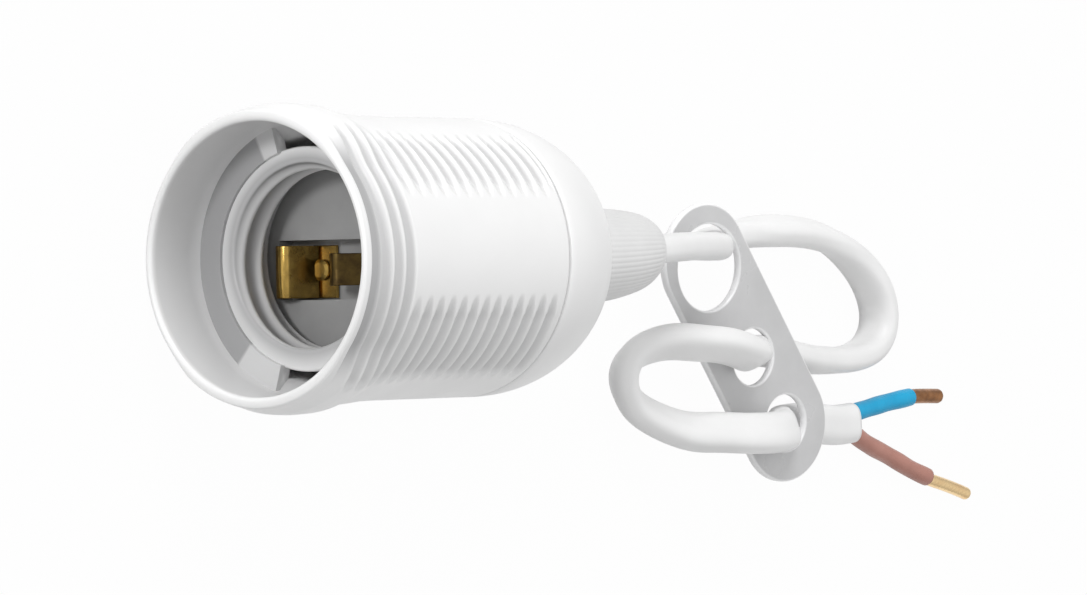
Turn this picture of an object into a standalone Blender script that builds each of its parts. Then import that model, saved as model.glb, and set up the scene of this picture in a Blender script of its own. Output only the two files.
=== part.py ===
"""Pendant lamp holder with a threaded barrel, a short flat cable and a hanger strap.

Units are metres and +Z is up. The holder lies on its side: its axis runs along +X from the
mouth to the cord grip, and the barrel touches the plane z = 0. The origin is under the middle
of the holder. Holder pieces are drawn in the holder's own frame, where x is the distance
behind the mouth and y = z = 0 is the axis. The loose cord, its cores and the strap are drawn
from the tip of the cord grip.
"""

import math

import bmesh
import bpy
import numpy as np
from mathutils import Matrix, Vector

# Fits
JOINT_GAP = 0.0003
SLIDE_GAP = 0.0003

# Threaded shell
HOLDER_LENGTH = 0.0877
BARREL_RADIUS = 0.0199
BARREL_WALL = 0.0017
MOUTH_WALL = 0.0010
SHELL_LENGTH = 0.0451
MOUTH_DEPTH = 0.0104
LIP_CHAMFER = 0.0003
FLARE_HEIGHT = 0.0015
FLARE_PEAK = 0.0065
FLARE_LENGTH = 0.0175
FLARE_HALF_ANGLE = math.radians(33)
FLARE_BLEND_ANGLE = math.radians(24)
REAR_CHAMFER = 0.0003

# Lamp tube inside the shell, and the slotted web that carries it
TUBE_BORE_RADIUS = 0.0133
TUBE_WALL = 0.0023
TUBE_FRONT = 0.0109
TUBE_LENGTH = 0.0075
TUBE_LIP = 0.0005
WEB_THICKNESS = 0.0020
WEB_SLOT_HALF_ANGLE = math.radians(16)
WEB_SLOT_EDGE = 0.0002

# Contact base and the shoulder in the shell that it rests against
SEAT_DEPTH = 0.0198
SEAT_WIDTH = 0.0010
BASE_THICKNESS = 0.0049
BASE_SLOT_WIDTH = 0.0084
BASE_SLOT_LENGTH = 0.0252
BASE_SLOT_DEPTH = 0.0029
BASE_KEY_Y = -0.0015
CONTACT_THICKNESS = 0.0005
SIDE_CONTACT_WIDTH = 0.0068
SIDE_LEG_FROM_SLOT_END = 0.0010
SIDE_LOOP_RADIUS = 0.0013
SIDE_LOOP_RISE = 0.0048
SIDE_LOOP_TURN = math.radians(125)
SIDE_LOOP_PLATE = 0.0043
SIDE_FOOT_END_Z = -0.0040
CENTRE_CONTACT_WIDTH = 0.0045
CENTRE_CONTACT_RISE = 0.0050
CENTRE_FOOT_FROM_SLOT_END = 0.0011
CENTRE_FOOT_END_Z = 0.0055
CENTRE_TIP_Z = -0.0006
CENTRE_TIP_LEG = 0.0018
BEND_RADIUS = 0.0009

# Rivets, terminal blocks and their screws
SIDE_RIVET_Z = -0.0064
CENTRE_RIVET_Z = 0.0085
RIVET_RADIUS = 0.00115
RIVET_HEAD_RADIUS = 0.0015
RIVET_HEAD_HEIGHT = 0.0006
BLOCK_LENGTH = 0.0080
BLOCK_WIDTH = 0.0080
BLOCK_HEIGHT = 0.0066
BLOCK_RIVET_DEPTH = 0.0020
WIRE_HOLE_RADIUS = 0.0014
WIRE_HOLE_DEPTH = 0.0051
SCREW_RADIUS = 0.00125
SCREW_HEAD_RADIUS = 0.0022
SCREW_HEAD_HEIGHT = 0.0015
SCREW_FROM_REAR = 0.0025
SCREW_SLOT_WIDTH = 0.0005
SCREW_SLOT_DEPTH = 0.0007

# Dome cap
DOME_SHOULDER = 0.0011
DOME_LENGTH = 0.0180
DOME_WALL = 0.0018
DOME_END_RADIUS = 0.0075
NECK_BORE_RADIUS = 0.0059
SLEEVE_WALL = 0.0017

# Cord grip and the collar that holds the cord inside the cap
GRIP_BASE_RADIUS = 0.00745
GRIP_TIP_RADIUS = 0.0053
GRIP_TIP_ROUND = 0.0004
GRIP_BULGE = 0.00045
GRIP_BEND = 0.0008
GRIP_FLANGE_RADIUS = 0.0073
GRIP_FLANGE_THICKNESS = 0.0024
COLLET_LENGTH = 0.0052
COLLET_RADIUS = 0.0052
COLLET_TAPER = 0.0012

# Cord
CORD_RADIUS = 0.0022
CORE_RADIUS = 0.00115
INNER_CORE_RADIUS = 0.0011
INNER_WIRE_RADIUS = 0.00055
BLUE_WIRE_RADIUS = 0.0010
BROWN_WIRE_RADIUS = 0.00085
INNER_CORD_FRONT = 0.0520
CORE_SPREAD = 0.0013
INNER_WIRE_LENGTH = 0.0047
CORD_POINTS = 78
CORE_POINTS = 12

# Hanger strap
STRAP_LENGTH = 0.0503
STRAP_WIDTH = 0.0179
STRAP_THICKNESS = 0.0014
STRAP_EDGE = 0.0002
EYE_RADIUS = 0.0067
CORD_HOLE_RADIUS = 0.0044
EYE_FROM_MIDDLE = -0.0147
FIRST_HOLE_FROM_MIDDLE = 0.0026
SECOND_HOLE_FROM_MIDDLE = 0.0155
STRAP_MIDDLE = (0.0413, -0.0136, 0.0089)
STRAP_YAW = math.radians(-53.6)
STRAP_TILT = math.radians(8.0)
STRAP_PITCH = math.radians(2.0)

# Route of the loose cord's centre line from the grip's tip, in millimetres, chosen by hand:
# over the strap's edge, down through the eye, a loop to the right, up through the first hole,
# a loop to the left, and down through the second hole to the cut end.
CORD_ROUTE_MM = (
    (0.2, 0.8, 19.8), (4.8, 1.1, 19.6), (15.8, 1.5, 17.0), (22.3, 1.5, 14.9),
    (27.9, 1.5, 12.2), (32.6, 1.6, 8.1), (37.5, 2.1, 4.2), (43.3, 3.0, 3.3),
    (53.1, 4.0, 3.2), (65.4, 3.6, 3.2), (72.8, 1.8, 3.2), (78.8, -1.3, 3.2),
    (82.8, -5.0, 3.2), (84.5, -8.9, 3.2), (83.9, -12.3, 3.2), (81.2, -14.9, 3.2),
    (76.4, -16.3, 3.2), (70.3, -16.6, 3.2), (61.7, -16.1, 3.8), (54.7, -15.1, 4.1),
    (48.3, -14.7, 4.8), (42.9, -14.9, 8.3), (37.8, -15.1, 11.8), (31.1, -13.8, 12.7),
    (25.4, -13.2, 11.4), (20.7, -12.9, 9.6), (16.9, -13.7, 7.7), (14.7, -15.5, 6.1),
    (14.5, -18.3, 5.0), (16.0, -21.0, 4.6), (18.7, -23.4, 5.0), (25.5, -26.5, 8.2),
    (29.7, -26.9, 10.6), (35.4, -27.2, 12.5), (45.2, -27.2, 12.1), (50.6, -26.7, 8.7),
    (55.5, -26.5, 5.0), (62.8, -26.3, 4.2), (71.4, -26.9, 3.0), (77.2, -26.7, 2.5),
)
BLUE_CORE_MM = ((77.8, -25.2, 2.4), (83.0, -24.5, 1.9), (90.1, -23.6, 1.3), (95.1, -23.0, 1.2))
BLUE_WIRE_MM = ((95.4, -22.95, 1.15), (99.5, -22.9, 1.1), (103.5, -23.0, 1.1))
BROWN_CORE_MM = (
    (78.0, -28.3, 2.4), (81.5, -29.8, 1.9), (88.4, -32.1, 1.3), (94.5, -34.4, 1.2),
    (99.7, -36.1, 1.2),
)
BROWN_WIRE_MM = ((100.0, -36.25, 1.1), (105.9, -37.7, 1.0), (111.5, -39.2, 0.95))
MM = 0.001

# Facets round each kind of piece
SHELL_FACETS = 60
SMALL_FACETS = 20
ARC_STEPS = 10
DOME_STEPS = 12
DOUBLES = 1e-6

# Sizes and places that follow from the sizes above
BARREL_BORE_RADIUS = BARREL_RADIUS - BARREL_WALL
MOUTH_BORE_RADIUS = BARREL_RADIUS - MOUTH_WALL
TUBE_RADIUS = TUBE_BORE_RADIUS + TUBE_WALL
TUBE_REAR = TUBE_FRONT + TUBE_LENGTH
SEAT_BORE_RADIUS = BARREL_BORE_RADIUS - SEAT_WIDTH
BASE_FRONT = SEAT_DEPTH + JOINT_GAP
BASE_REAR = BASE_FRONT + BASE_THICKNESS
SLOT_FLOOR = BASE_FRONT + BASE_SLOT_DEPTH
FOOT_X = SLOT_FLOOR - JOINT_GAP - CONTACT_THICKNESS / 2
SIDE_LEG_Z = -(BASE_SLOT_LENGTH / 2 - SIDE_LEG_FROM_SLOT_END)
CENTRE_FOOT_START_Z = BASE_SLOT_LENGTH / 2 - CENTRE_FOOT_FROM_SLOT_END
BLOCK_FRONT = BASE_REAR + JOINT_GAP
BLOCK_REAR = BLOCK_FRONT + BLOCK_LENGTH
SLEEVE_FRONT = BASE_REAR + JOINT_GAP
SLEEVE_RADIUS = BARREL_BORE_RADIUS - SLIDE_GAP
DOME_FRONT = SHELL_LENGTH + JOINT_GAP
DOME_START = DOME_FRONT + DOME_SHOULDER
DOME_END = DOME_START + DOME_LENGTH
GRIP_SEAT = DOME_END + JOINT_GAP
GRIP_FLANGE_REAR = DOME_END - DOME_WALL - SLIDE_GAP
GRIP_FRONT = GRIP_FLANGE_REAR - GRIP_FLANGE_THICKNESS
CORD_BORE_RADIUS = CORD_RADIUS + SLIDE_GAP
COLLET_REAR = GRIP_FRONT - JOINT_GAP


def clear_scene():
    for old in list(bpy.data.objects):
        bpy.data.objects.remove(old, do_unlink=True)


def make_material(name, colour, roughness, metallic=0.0):
    material = bpy.data.materials.new(name)
    material.use_nodes = True
    shader = material.node_tree.nodes["Principled BSDF"]
    shader.inputs["Base Color"].default_value = (*colour, 1.0)
    shader.inputs["Roughness"].default_value = roughness
    shader.inputs["Metallic"].default_value = metallic
    return material


def add_empty(name, place):
    empty = bpy.data.objects.new(name, None)
    empty.location = place
    bpy.context.scene.collection.objects.link(empty)
    return empty


def add_object(name, data, material, parent):
    piece = bpy.data.objects.new(name, data)
    bpy.context.scene.collection.objects.link(piece)
    if material is not None:
        data.materials.append(material)
    piece.parent = parent
    return piece


def finish_mesh(name, bm, material, parent, smooth=True):
    """Closes the mesh, turns its faces outwards and makes the object."""
    bmesh.ops.remove_doubles(bm, verts=bm.verts, dist=DOUBLES)
    bmesh.ops.recalc_face_normals(bm, faces=bm.faces)
    mesh = bpy.data.meshes.new(name)
    bm.to_mesh(mesh)
    bm.free()
    if smooth:
        mesh.shade_smooth()
        mesh.set_sharp_from_angle(angle=math.radians(35))
    return add_object(name, mesh, material, parent)


def make_cutter(piece):
    piece.hide_render = True
    piece.display_type = "WIRE"
    return piece


def combine(piece, other, operation):
    modifier = piece.modifiers.new(other.name, "BOOLEAN")
    modifier.object = other
    modifier.operation = operation
    modifier.solver = "EXACT"


def spin_outline(bm, outline, facets, start=0.0, angle=2 * math.pi):
    """Turns an (x, radius) outline about the X axis; a closed outline makes a ring."""
    turn = Matrix.Rotation(start, 3, "X")
    corners = [bm.verts.new(turn @ Vector((x, 0.0, radius))) for x, radius in outline]
    on_axis = outline[0][1] == 0.0 and outline[-1][1] == 0.0
    last = len(corners) - 1 if on_axis else len(corners)
    edges = [bm.edges.new((corners[i], corners[(i + 1) % len(corners)])) for i in range(last)]
    whole = abs(angle - 2 * math.pi) < 1e-6
    bmesh.ops.spin(
        bm, geom=corners + edges, cent=(0, 0, 0), axis=(1, 0, 0),
        angle=angle, steps=facets, use_merge=whole,
    )


def turned(name, outline, material, parent, facets=SHELL_FACETS):
    bm = bmesh.new()
    spin_outline(bm, outline, facets)
    return finish_mesh(name, bm, material, parent)


def block(name, low, high, material, parent):
    """A plain box between two corners."""
    bm = bmesh.new()
    bmesh.ops.create_cube(bm, size=1.0)
    size = Vector(high) - Vector(low)
    middle = (Vector(high) + Vector(low)) / 2
    bmesh.ops.scale(bm, vec=size, verts=bm.verts)
    bmesh.ops.translate(bm, vec=middle, verts=bm.verts)
    return finish_mesh(name, bm, material, parent, smooth=False)


def rod(name, start, end, radius, material, parent, facets=SMALL_FACETS):
    """A plain cylinder between two points."""
    start = Vector(start)
    along = Vector(end) - start
    bm = bmesh.new()
    bmesh.ops.create_cone(
        bm, cap_ends=True, segments=facets, radius1=radius, radius2=radius, depth=along.length,
    )
    turn = Vector((0, 0, 1)).rotation_difference(along).to_matrix().to_4x4()
    place = Matrix.Translation(start + along / 2) @ turn
    bmesh.ops.transform(bm, matrix=place, verts=bm.verts)
    return finish_mesh(name, bm, material, parent)


def smooth_line(points, count):
    """Points evenly along the natural cubic curve through the given points."""
    points = np.array(points, float)
    chord = np.sqrt(np.linalg.norm(np.diff(points, axis=0), axis=1))
    knots = np.concatenate([[0.0], np.cumsum(chord)])
    step = np.diff(knots)
    size = len(points)
    system = np.eye(size)
    right = np.zeros((size, 3))
    for i in range(1, size - 1):
        system[i, i - 1:i + 2] = step[i - 1], 2 * (step[i - 1] + step[i]), step[i]
        slope_after = (points[i + 1] - points[i]) / step[i]
        slope_before = (points[i] - points[i - 1]) / step[i - 1]
        right[i] = 6 * (slope_after - slope_before)
    bend = np.linalg.solve(system, right)
    fine = np.linspace(0.0, knots[-1], 40 * size)
    part = np.clip(np.searchsorted(knots, fine, side="right") - 1, 0, size - 2)
    before = (fine - knots[part])[:, None]
    after = (knots[part + 1] - fine)[:, None]
    width = step[part][:, None]
    line = (
        (bend[part] * after**3 + bend[part + 1] * before**3) / (6 * width)
        + (points[part] / width - bend[part] * width / 6) * after
        + (points[part + 1] / width - bend[part + 1] * width / 6) * before
    )
    along = np.concatenate([[0.0], np.cumsum(np.linalg.norm(np.diff(line, axis=0), axis=1))])
    even = np.linspace(0.0, along[-1], count)
    return np.stack([np.interp(even, along, line[:, k]) for k in range(3)], axis=1)


def tube(name, line, radius, material, parent):
    """A round tube along a line of points, as a curve with filled ends."""
    curve = bpy.data.curves.new(name, "CURVE")
    curve.dimensions = "3D"
    spline = curve.splines.new("POLY")
    spline.points.add(len(line) - 1)
    for point, place in zip(spline.points, line):
        point.co = (*place, 1.0)
    curve.bevel_depth = radius
    curve.bevel_resolution = 2
    curve.use_fill_caps = True
    curve.twist_mode = "MINIMUM"
    return add_object(name, curve, material, parent)


def ease(share):
    """A soft step from 0 to 1."""
    share = min(max(share, 0.0), 1.0)
    return share * share * (3 - 2 * share)


def flare_along(x):
    """How much of the flare stands at x: it swells behind the lip and dies out on the barrel."""
    rise = ease((x + LIP_CHAMFER) / FLARE_PEAK)
    fall = ease((x - FLARE_PEAK) / (FLARE_LENGTH - FLARE_PEAK))
    return rise * (1 - fall)


def flare_round(y, z):
    """The flare stands on the two smooth sides of the shell and leaves the thread free."""
    from_side = math.atan2(abs(z), abs(y))
    return 1 - ease((from_side - FLARE_HALF_ANGLE) / FLARE_BLEND_ANGLE)


def make_threaded_shell(material, parent):
    """Moulded barrel with a flared mouth, a slotted web for the lamp tube and a seat behind it."""
    rows = np.linspace(LIP_CHAMFER, FLARE_LENGTH, ARC_STEPS)
    outline = [(0.0, BARREL_RADIUS - LIP_CHAMFER)]
    outline += [(float(x), BARREL_RADIUS) for x in rows]
    outline += [
        (SHELL_LENGTH - REAR_CHAMFER, BARREL_RADIUS),
        (SHELL_LENGTH, BARREL_RADIUS - REAR_CHAMFER),
        (SHELL_LENGTH, BARREL_BORE_RADIUS),
        (SEAT_DEPTH, BARREL_BORE_RADIUS),
        (SEAT_DEPTH, SEAT_BORE_RADIUS),
        (MOUTH_DEPTH + WEB_THICKNESS, SEAT_BORE_RADIUS),
        (MOUTH_DEPTH + WEB_THICKNESS, TUBE_RADIUS),
        (TUBE_REAR, TUBE_RADIUS),
        (TUBE_REAR, TUBE_BORE_RADIUS),
        (TUBE_FRONT + TUBE_LIP, TUBE_BORE_RADIUS),
        (TUBE_FRONT, TUBE_BORE_RADIUS + TUBE_LIP),
        (TUBE_FRONT, TUBE_RADIUS),
        (MOUTH_DEPTH, TUBE_RADIUS),
        (MOUTH_DEPTH, MOUTH_BORE_RADIUS),
        (0.0, MOUTH_BORE_RADIUS),
    ]
    bm = bmesh.new()
    spin_outline(bm, outline, SHELL_FACETS)
    outside = BARREL_RADIUS - LIP_CHAMFER - DOUBLES
    for corner in bm.verts:
        x, y, z = corner.co
        radius = math.hypot(y, z)
        if radius > outside and x < FLARE_LENGTH:
            swell = FLARE_HEIGHT * flare_along(x) * flare_round(y, z)
            corner.co = (x, y * (1 + swell / radius), z * (1 + swell / radius))
    shell = finish_mesh("threaded_shell", bm, material, parent)

    slot_outline = [
        (MOUTH_DEPTH - WEB_THICKNESS, TUBE_RADIUS + WEB_SLOT_EDGE),
        (MOUTH_DEPTH - WEB_THICKNESS, BARREL_BORE_RADIUS - WEB_SLOT_EDGE),
        (MOUTH_DEPTH + 2 * WEB_THICKNESS, BARREL_BORE_RADIUS - WEB_SLOT_EDGE),
        (MOUTH_DEPTH + 2 * WEB_THICKNESS, TUBE_RADIUS + WEB_SLOT_EDGE),
    ]
    for side, middle in (("left", math.pi / 2), ("right", -math.pi / 2)):
        bm = bmesh.new()
        start = middle - WEB_SLOT_HALF_ANGLE
        spin_outline(bm, slot_outline, ARC_STEPS, start, 2 * WEB_SLOT_HALF_ANGLE)
        bmesh.ops.holes_fill(bm, edges=[e for e in bm.edges if e.is_boundary], sides=4)
        slot = finish_mesh(f"{side}_slot_cutter", bm, None, parent)
        combine(shell, make_cutter(slot), "DIFFERENCE")
    return shell


def quarter_ellipse(start, length, inner, outer, steps):
    """Points of a dome's section, from its full radius to its end, as a quarter ellipse."""
    turns = [math.pi / 2 * i / steps for i in range(steps + 1)]
    return [
        (start + length * math.sin(a), inner + (outer - inner) * math.cos(a)) for a in turns
    ]


def make_dome_cap(material, parent):
    """Domed rear cap with the sleeve that slides into the shell and clamps the contact base."""
    sleeve_bore = SLEEVE_RADIUS - SLEEVE_WALL
    outside = quarter_ellipse(DOME_START, DOME_LENGTH, DOME_END_RADIUS, BARREL_RADIUS, DOME_STEPS)
    inside = quarter_ellipse(
        DOME_START, DOME_LENGTH - DOME_WALL, NECK_BORE_RADIUS, sleeve_bore, DOME_STEPS,
    )
    outline = [
        (SLEEVE_FRONT, sleeve_bore),
        (SLEEVE_FRONT, SLEEVE_RADIUS),
        (DOME_FRONT, SLEEVE_RADIUS),
        (DOME_FRONT, BARREL_RADIUS - REAR_CHAMFER),
        (DOME_FRONT + REAR_CHAMFER, BARREL_RADIUS),
    ]
    outline += outside
    outline += [(DOME_END, NECK_BORE_RADIUS)]
    outline += reversed(inside)
    return turned("dome_cap", outline, material, parent)


def grip_offset(x):
    """How far the soft grip leans to +Y, pulled by its cord."""
    share = max(0.0, (x - GRIP_SEAT) / (HOLDER_LENGTH - GRIP_SEAT))
    return GRIP_BEND * share * share


def make_cord_grip(material, parent):
    """Tapered sleeve snapped into the cap's neck by its inner flange."""
    taper = []
    steps = ARC_STEPS
    end = HOLDER_LENGTH - GRIP_TIP_ROUND
    for i in range(steps + 1):
        share = i / steps
        straight = GRIP_BASE_RADIUS + (GRIP_TIP_RADIUS - GRIP_BASE_RADIUS) * share
        bulge = GRIP_BULGE * math.sin(math.pi * share)
        taper.append((GRIP_SEAT + (end - GRIP_SEAT) * share, straight + bulge))
    shank = NECK_BORE_RADIUS - SLIDE_GAP
    outline = [
        (GRIP_FRONT, CORD_BORE_RADIUS),
        (GRIP_FRONT, GRIP_FLANGE_RADIUS),
        (GRIP_FLANGE_REAR, GRIP_FLANGE_RADIUS),
        (GRIP_FLANGE_REAR, shank),
        (GRIP_SEAT, shank),
    ]
    outline += taper
    outline += [(HOLDER_LENGTH, GRIP_TIP_RADIUS - GRIP_TIP_ROUND)]
    bore_rows = np.linspace(HOLDER_LENGTH, GRIP_SEAT, 6)
    outline += [(float(x), CORD_BORE_RADIUS) for x in bore_rows]
    bm = bmesh.new()
    spin_outline(bm, outline, SMALL_FACETS * 2)
    for corner in bm.verts:
        corner.co.y += grip_offset(corner.co.x)
    return finish_mesh("cord_grip", bm, material, parent)


def make_cord_collet(material, parent):
    """Tapered collar on the cord inside the cap, which stops the cord being pulled out."""
    outline = [
        (COLLET_REAR - COLLET_LENGTH, CORD_BORE_RADIUS),
        (COLLET_REAR - COLLET_LENGTH, COLLET_RADIUS - COLLET_TAPER),
        (COLLET_REAR - COLLET_LENGTH / 2, COLLET_RADIUS),
        (COLLET_REAR, COLLET_RADIUS),
        (COLLET_REAR, CORD_BORE_RADIUS),
    ]
    return turned("cord_collet", outline, material, parent, SMALL_FACETS)


def make_contact_base(material, parent):
    """Insulating disc with a slot for the contacts and two rivet holes."""
    base_radius = BARREL_BORE_RADIUS - SLIDE_GAP
    outline = [
        (BASE_FRONT, 0.0),
        (BASE_FRONT, base_radius),
        (BASE_REAR, base_radius),
        (BASE_REAR, 0.0),
    ]
    base = turned("contact_base", outline, material, parent)
    half_width = BASE_SLOT_WIDTH / 2
    half_length = BASE_SLOT_LENGTH / 2
    slot = block(
        "contact_slot_cutter",
        (BASE_FRONT - BASE_THICKNESS, BASE_KEY_Y - half_width, -half_length),
        (SLOT_FLOOR, BASE_KEY_Y + half_width, half_length),
        None, parent,
    )
    combine(base, make_cutter(slot), "DIFFERENCE")
    for label, z in (("side", SIDE_RIVET_Z), ("centre", CENTRE_RIVET_Z)):
        hole = rod(
            f"{label}_rivet_hole_cutter",
            (BASE_FRONT, BASE_KEY_Y, z),
            (BASE_REAR + BASE_THICKNESS, BASE_KEY_Y, z),
            RIVET_RADIUS + SLIDE_GAP, None, parent,
        )
        combine(base, make_cutter(hole), "DIFFERENCE")
    return base


def rounded_path(corners, radius, steps=4):
    """A path in the XZ plane whose inner corners become arcs of the given radius."""
    path = [Vector(corners[0])]
    for before, corner, after in zip(corners, corners[1:], corners[2:]):
        before, corner, after = Vector(before), Vector(corner), Vector(after)
        back = (before - corner).normalized()
        onward = (after - corner).normalized()
        half = back.angle(onward) / 2
        reach = radius / math.tan(half)
        centre = corner + (back + onward).normalized() * (radius / math.sin(half))
        first = corner + back * reach - centre
        last = corner + onward * reach - centre
        sweep = first.angle_signed(last)
        for i in range(steps + 1):
            path.append(centre + Matrix.Rotation(-sweep * i / steps, 2) @ first)
    path.append(Vector(corners[-1]))
    return path


def bent_strip(name, path, width, y_middle, material, parent):
    """Sheet metal of even thickness that follows a path in the XZ plane."""
    half = CONTACT_THICKNESS / 2
    left = []
    right = []
    for i, place in enumerate(path):
        ahead = path[min(i + 1, len(path) - 1)] - path[max(i - 1, 0)]
        across = Vector((-ahead.y, ahead.x)).normalized() * half
        left.append(place + across)
        right.append(place - across)
    outline = left + right[::-1]
    bm = bmesh.new()
    corners = [bm.verts.new((p.x, y_middle - width / 2, p.y)) for p in outline]
    face = bm.faces.new(corners)
    grown = bmesh.ops.extrude_face_region(bm, geom=[face])
    moved = [v for v in grown["geom"] if isinstance(v, bmesh.types.BMVert)]
    bmesh.ops.translate(bm, vec=(0, width, 0), verts=moved)
    return finish_mesh(name, bm, material, parent)


def cut_foot_hole(contact, label, z, parent):
    hole = rod(
        f"{label}_foot_hole_cutter",
        (FOOT_X - BASE_THICKNESS / 2, BASE_KEY_Y, z),
        (FOOT_X + BASE_THICKNESS / 2, BASE_KEY_Y, z),
        RIVET_RADIUS + SLIDE_GAP, None, parent,
    )
    combine(contact, make_cutter(hole), "DIFFERENCE")


def make_side_contact(material, parent):
    """Brass spring that touches the side of the lamp's screw cap.

    A foot on the base, a leg towards the mouth, a round front bend and a sloping plate that
    leads back over the rivet without touching it.
    """
    loop_x = FOOT_X - SIDE_LOOP_RISE + SIDE_LOOP_RADIUS
    path = rounded_path(
        [(FOOT_X, SIDE_FOOT_END_Z), (FOOT_X, SIDE_LEG_Z), (loop_x, SIDE_LEG_Z)],
        BEND_RADIUS,
    )
    for i in range(1, ARC_STEPS + 1):
        turn = SIDE_LOOP_TURN * i / ARC_STEPS
        x = loop_x - SIDE_LOOP_RADIUS * math.sin(turn)
        z = SIDE_LEG_Z + SIDE_LOOP_RADIUS * (1 - math.cos(turn))
        path.append(Vector((x, z)))
    ahead = Vector((-math.cos(SIDE_LOOP_TURN), math.sin(SIDE_LOOP_TURN)))
    path.append(path[-1] + SIDE_LOOP_PLATE * ahead)
    contact = bent_strip("side_contact", path, SIDE_CONTACT_WIDTH, BASE_KEY_Y - 0.0004,
                         material, parent)
    cut_foot_hole(contact, "side", SIDE_RIVET_Z, parent)
    return contact


def make_centre_contact(material, parent):
    """Brass spring that touches the lamp's centre: a foot, a slope and a turned-down tip."""
    tip_x = FOOT_X - CENTRE_CONTACT_RISE
    path = rounded_path(
        [
            (FOOT_X, CENTRE_FOOT_START_Z),
            (FOOT_X, CENTRE_FOOT_END_Z),
            (tip_x, CENTRE_TIP_Z),
            (tip_x + CENTRE_TIP_LEG, CENTRE_TIP_Z - CENTRE_TIP_LEG),
        ],
        BEND_RADIUS,
    )
    contact = bent_strip("centre_contact", path, CENTRE_CONTACT_WIDTH, BASE_KEY_Y,
                         material, parent)
    cut_foot_hole(contact, "centre", CENTRE_RIVET_Z, parent)
    return contact


def make_rivet(label, z, material, parent):
    """Rivet that fixes a contact's foot and its terminal block to the base."""
    head_rear = FOOT_X - CONTACT_THICKNESS / 2 - JOINT_GAP
    head_front = head_rear - RIVET_HEAD_HEIGHT
    tail = BLOCK_FRONT + BLOCK_RIVET_DEPTH - JOINT_GAP
    outline = [
        (head_front, 0.0),
        (head_front, RIVET_HEAD_RADIUS * 0.7),
        (head_front + RIVET_HEAD_HEIGHT / 2, RIVET_HEAD_RADIUS),
        (head_rear, RIVET_HEAD_RADIUS),
        (head_rear, RIVET_RADIUS),
        (tail, RIVET_RADIUS),
        (tail, 0.0),
    ]
    bm = bmesh.new()
    spin_outline(bm, outline, SMALL_FACETS)
    bmesh.ops.translate(bm, vec=(0, BASE_KEY_Y, z), verts=bm.verts)
    return finish_mesh(f"{label}_rivet", bm, material, parent)


def make_terminal(label, z, outward, material, parent):
    """Brass block with a rivet hole in front, a wire hole behind and a screw hole outside."""
    half_width = BLOCK_WIDTH / 2
    half_height = BLOCK_HEIGHT / 2
    terminal = block(
        f"{label}_terminal",
        (BLOCK_FRONT, BASE_KEY_Y - half_width, z - half_height),
        (BLOCK_REAR, BASE_KEY_Y + half_width, z + half_height),
        material, parent,
    )
    over = BLOCK_LENGTH
    screw_x = BLOCK_REAR - SCREW_FROM_REAR
    holes = (
        (
            "rivet", RIVET_RADIUS + SLIDE_GAP,
            (BLOCK_FRONT - over, BASE_KEY_Y, z),
            (BLOCK_FRONT + BLOCK_RIVET_DEPTH, BASE_KEY_Y, z),
        ),
        (
            "wire", WIRE_HOLE_RADIUS,
            (BLOCK_REAR - WIRE_HOLE_DEPTH, BASE_KEY_Y, z),
            (BLOCK_REAR + over, BASE_KEY_Y, z),
        ),
        (
            "screw", SCREW_RADIUS + SLIDE_GAP,
            (screw_x, BASE_KEY_Y, z),
            (screw_x, BASE_KEY_Y, z + outward * over),
        ),
    )
    for kind, radius, start, end in holes:
        hole = rod(f"{label}_{kind}_hole_cutter", start, end, radius, None, parent)
        combine(terminal, make_cutter(hole), "DIFFERENCE")
    return terminal


def make_terminal_screw(label, z, outward, material, parent):
    """Slotted cheese-head screw that presses the wire in its terminal."""
    seat = BLOCK_HEIGHT / 2 + JOINT_GAP
    tip = INNER_WIRE_RADIUS + SLIDE_GAP
    top = seat + SCREW_HEAD_HEIGHT
    outline = [
        (tip, 0.0),
        (tip, SCREW_RADIUS),
        (seat, SCREW_RADIUS),
        (seat, SCREW_HEAD_RADIUS),
        (top, SCREW_HEAD_RADIUS),
        (top, 0.0),
    ]
    place = Vector((BLOCK_REAR - SCREW_FROM_REAR, BASE_KEY_Y, z))
    turn = Matrix.Rotation(-outward * math.pi / 2, 4, "Y")
    bm = bmesh.new()
    spin_outline(bm, outline, SMALL_FACETS)
    bmesh.ops.transform(bm, matrix=Matrix.Translation(place) @ turn, verts=bm.verts)
    screw = finish_mesh(f"{label}_terminal_screw", bm, material, parent)
    reach = SCREW_HEAD_RADIUS * 2
    ends = sorted((z + outward * (top - SCREW_SLOT_DEPTH), z + outward * (top + reach)))
    slot = block(
        f"{label}_screw_slot_cutter",
        (place.x - reach, BASE_KEY_Y - SCREW_SLOT_WIDTH / 2, ends[0]),
        (place.x + reach, BASE_KEY_Y + SCREW_SLOT_WIDTH / 2, ends[1]),
        None, parent,
    )
    combine(screw, make_cutter(slot), "DIFFERENCE")
    return screw


def make_inner_cord(sheath, parent):
    """The cord's end inside the holder, from the grip's tip to where its sheath is stripped."""
    rows = np.linspace(INNER_CORD_FRONT, HOLDER_LENGTH - JOINT_GAP, 12)
    line = [(float(x), grip_offset(float(x)), 0.0) for x in rows]
    return tube("inner_cord", line, CORD_RADIUS, sheath, parent)


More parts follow.
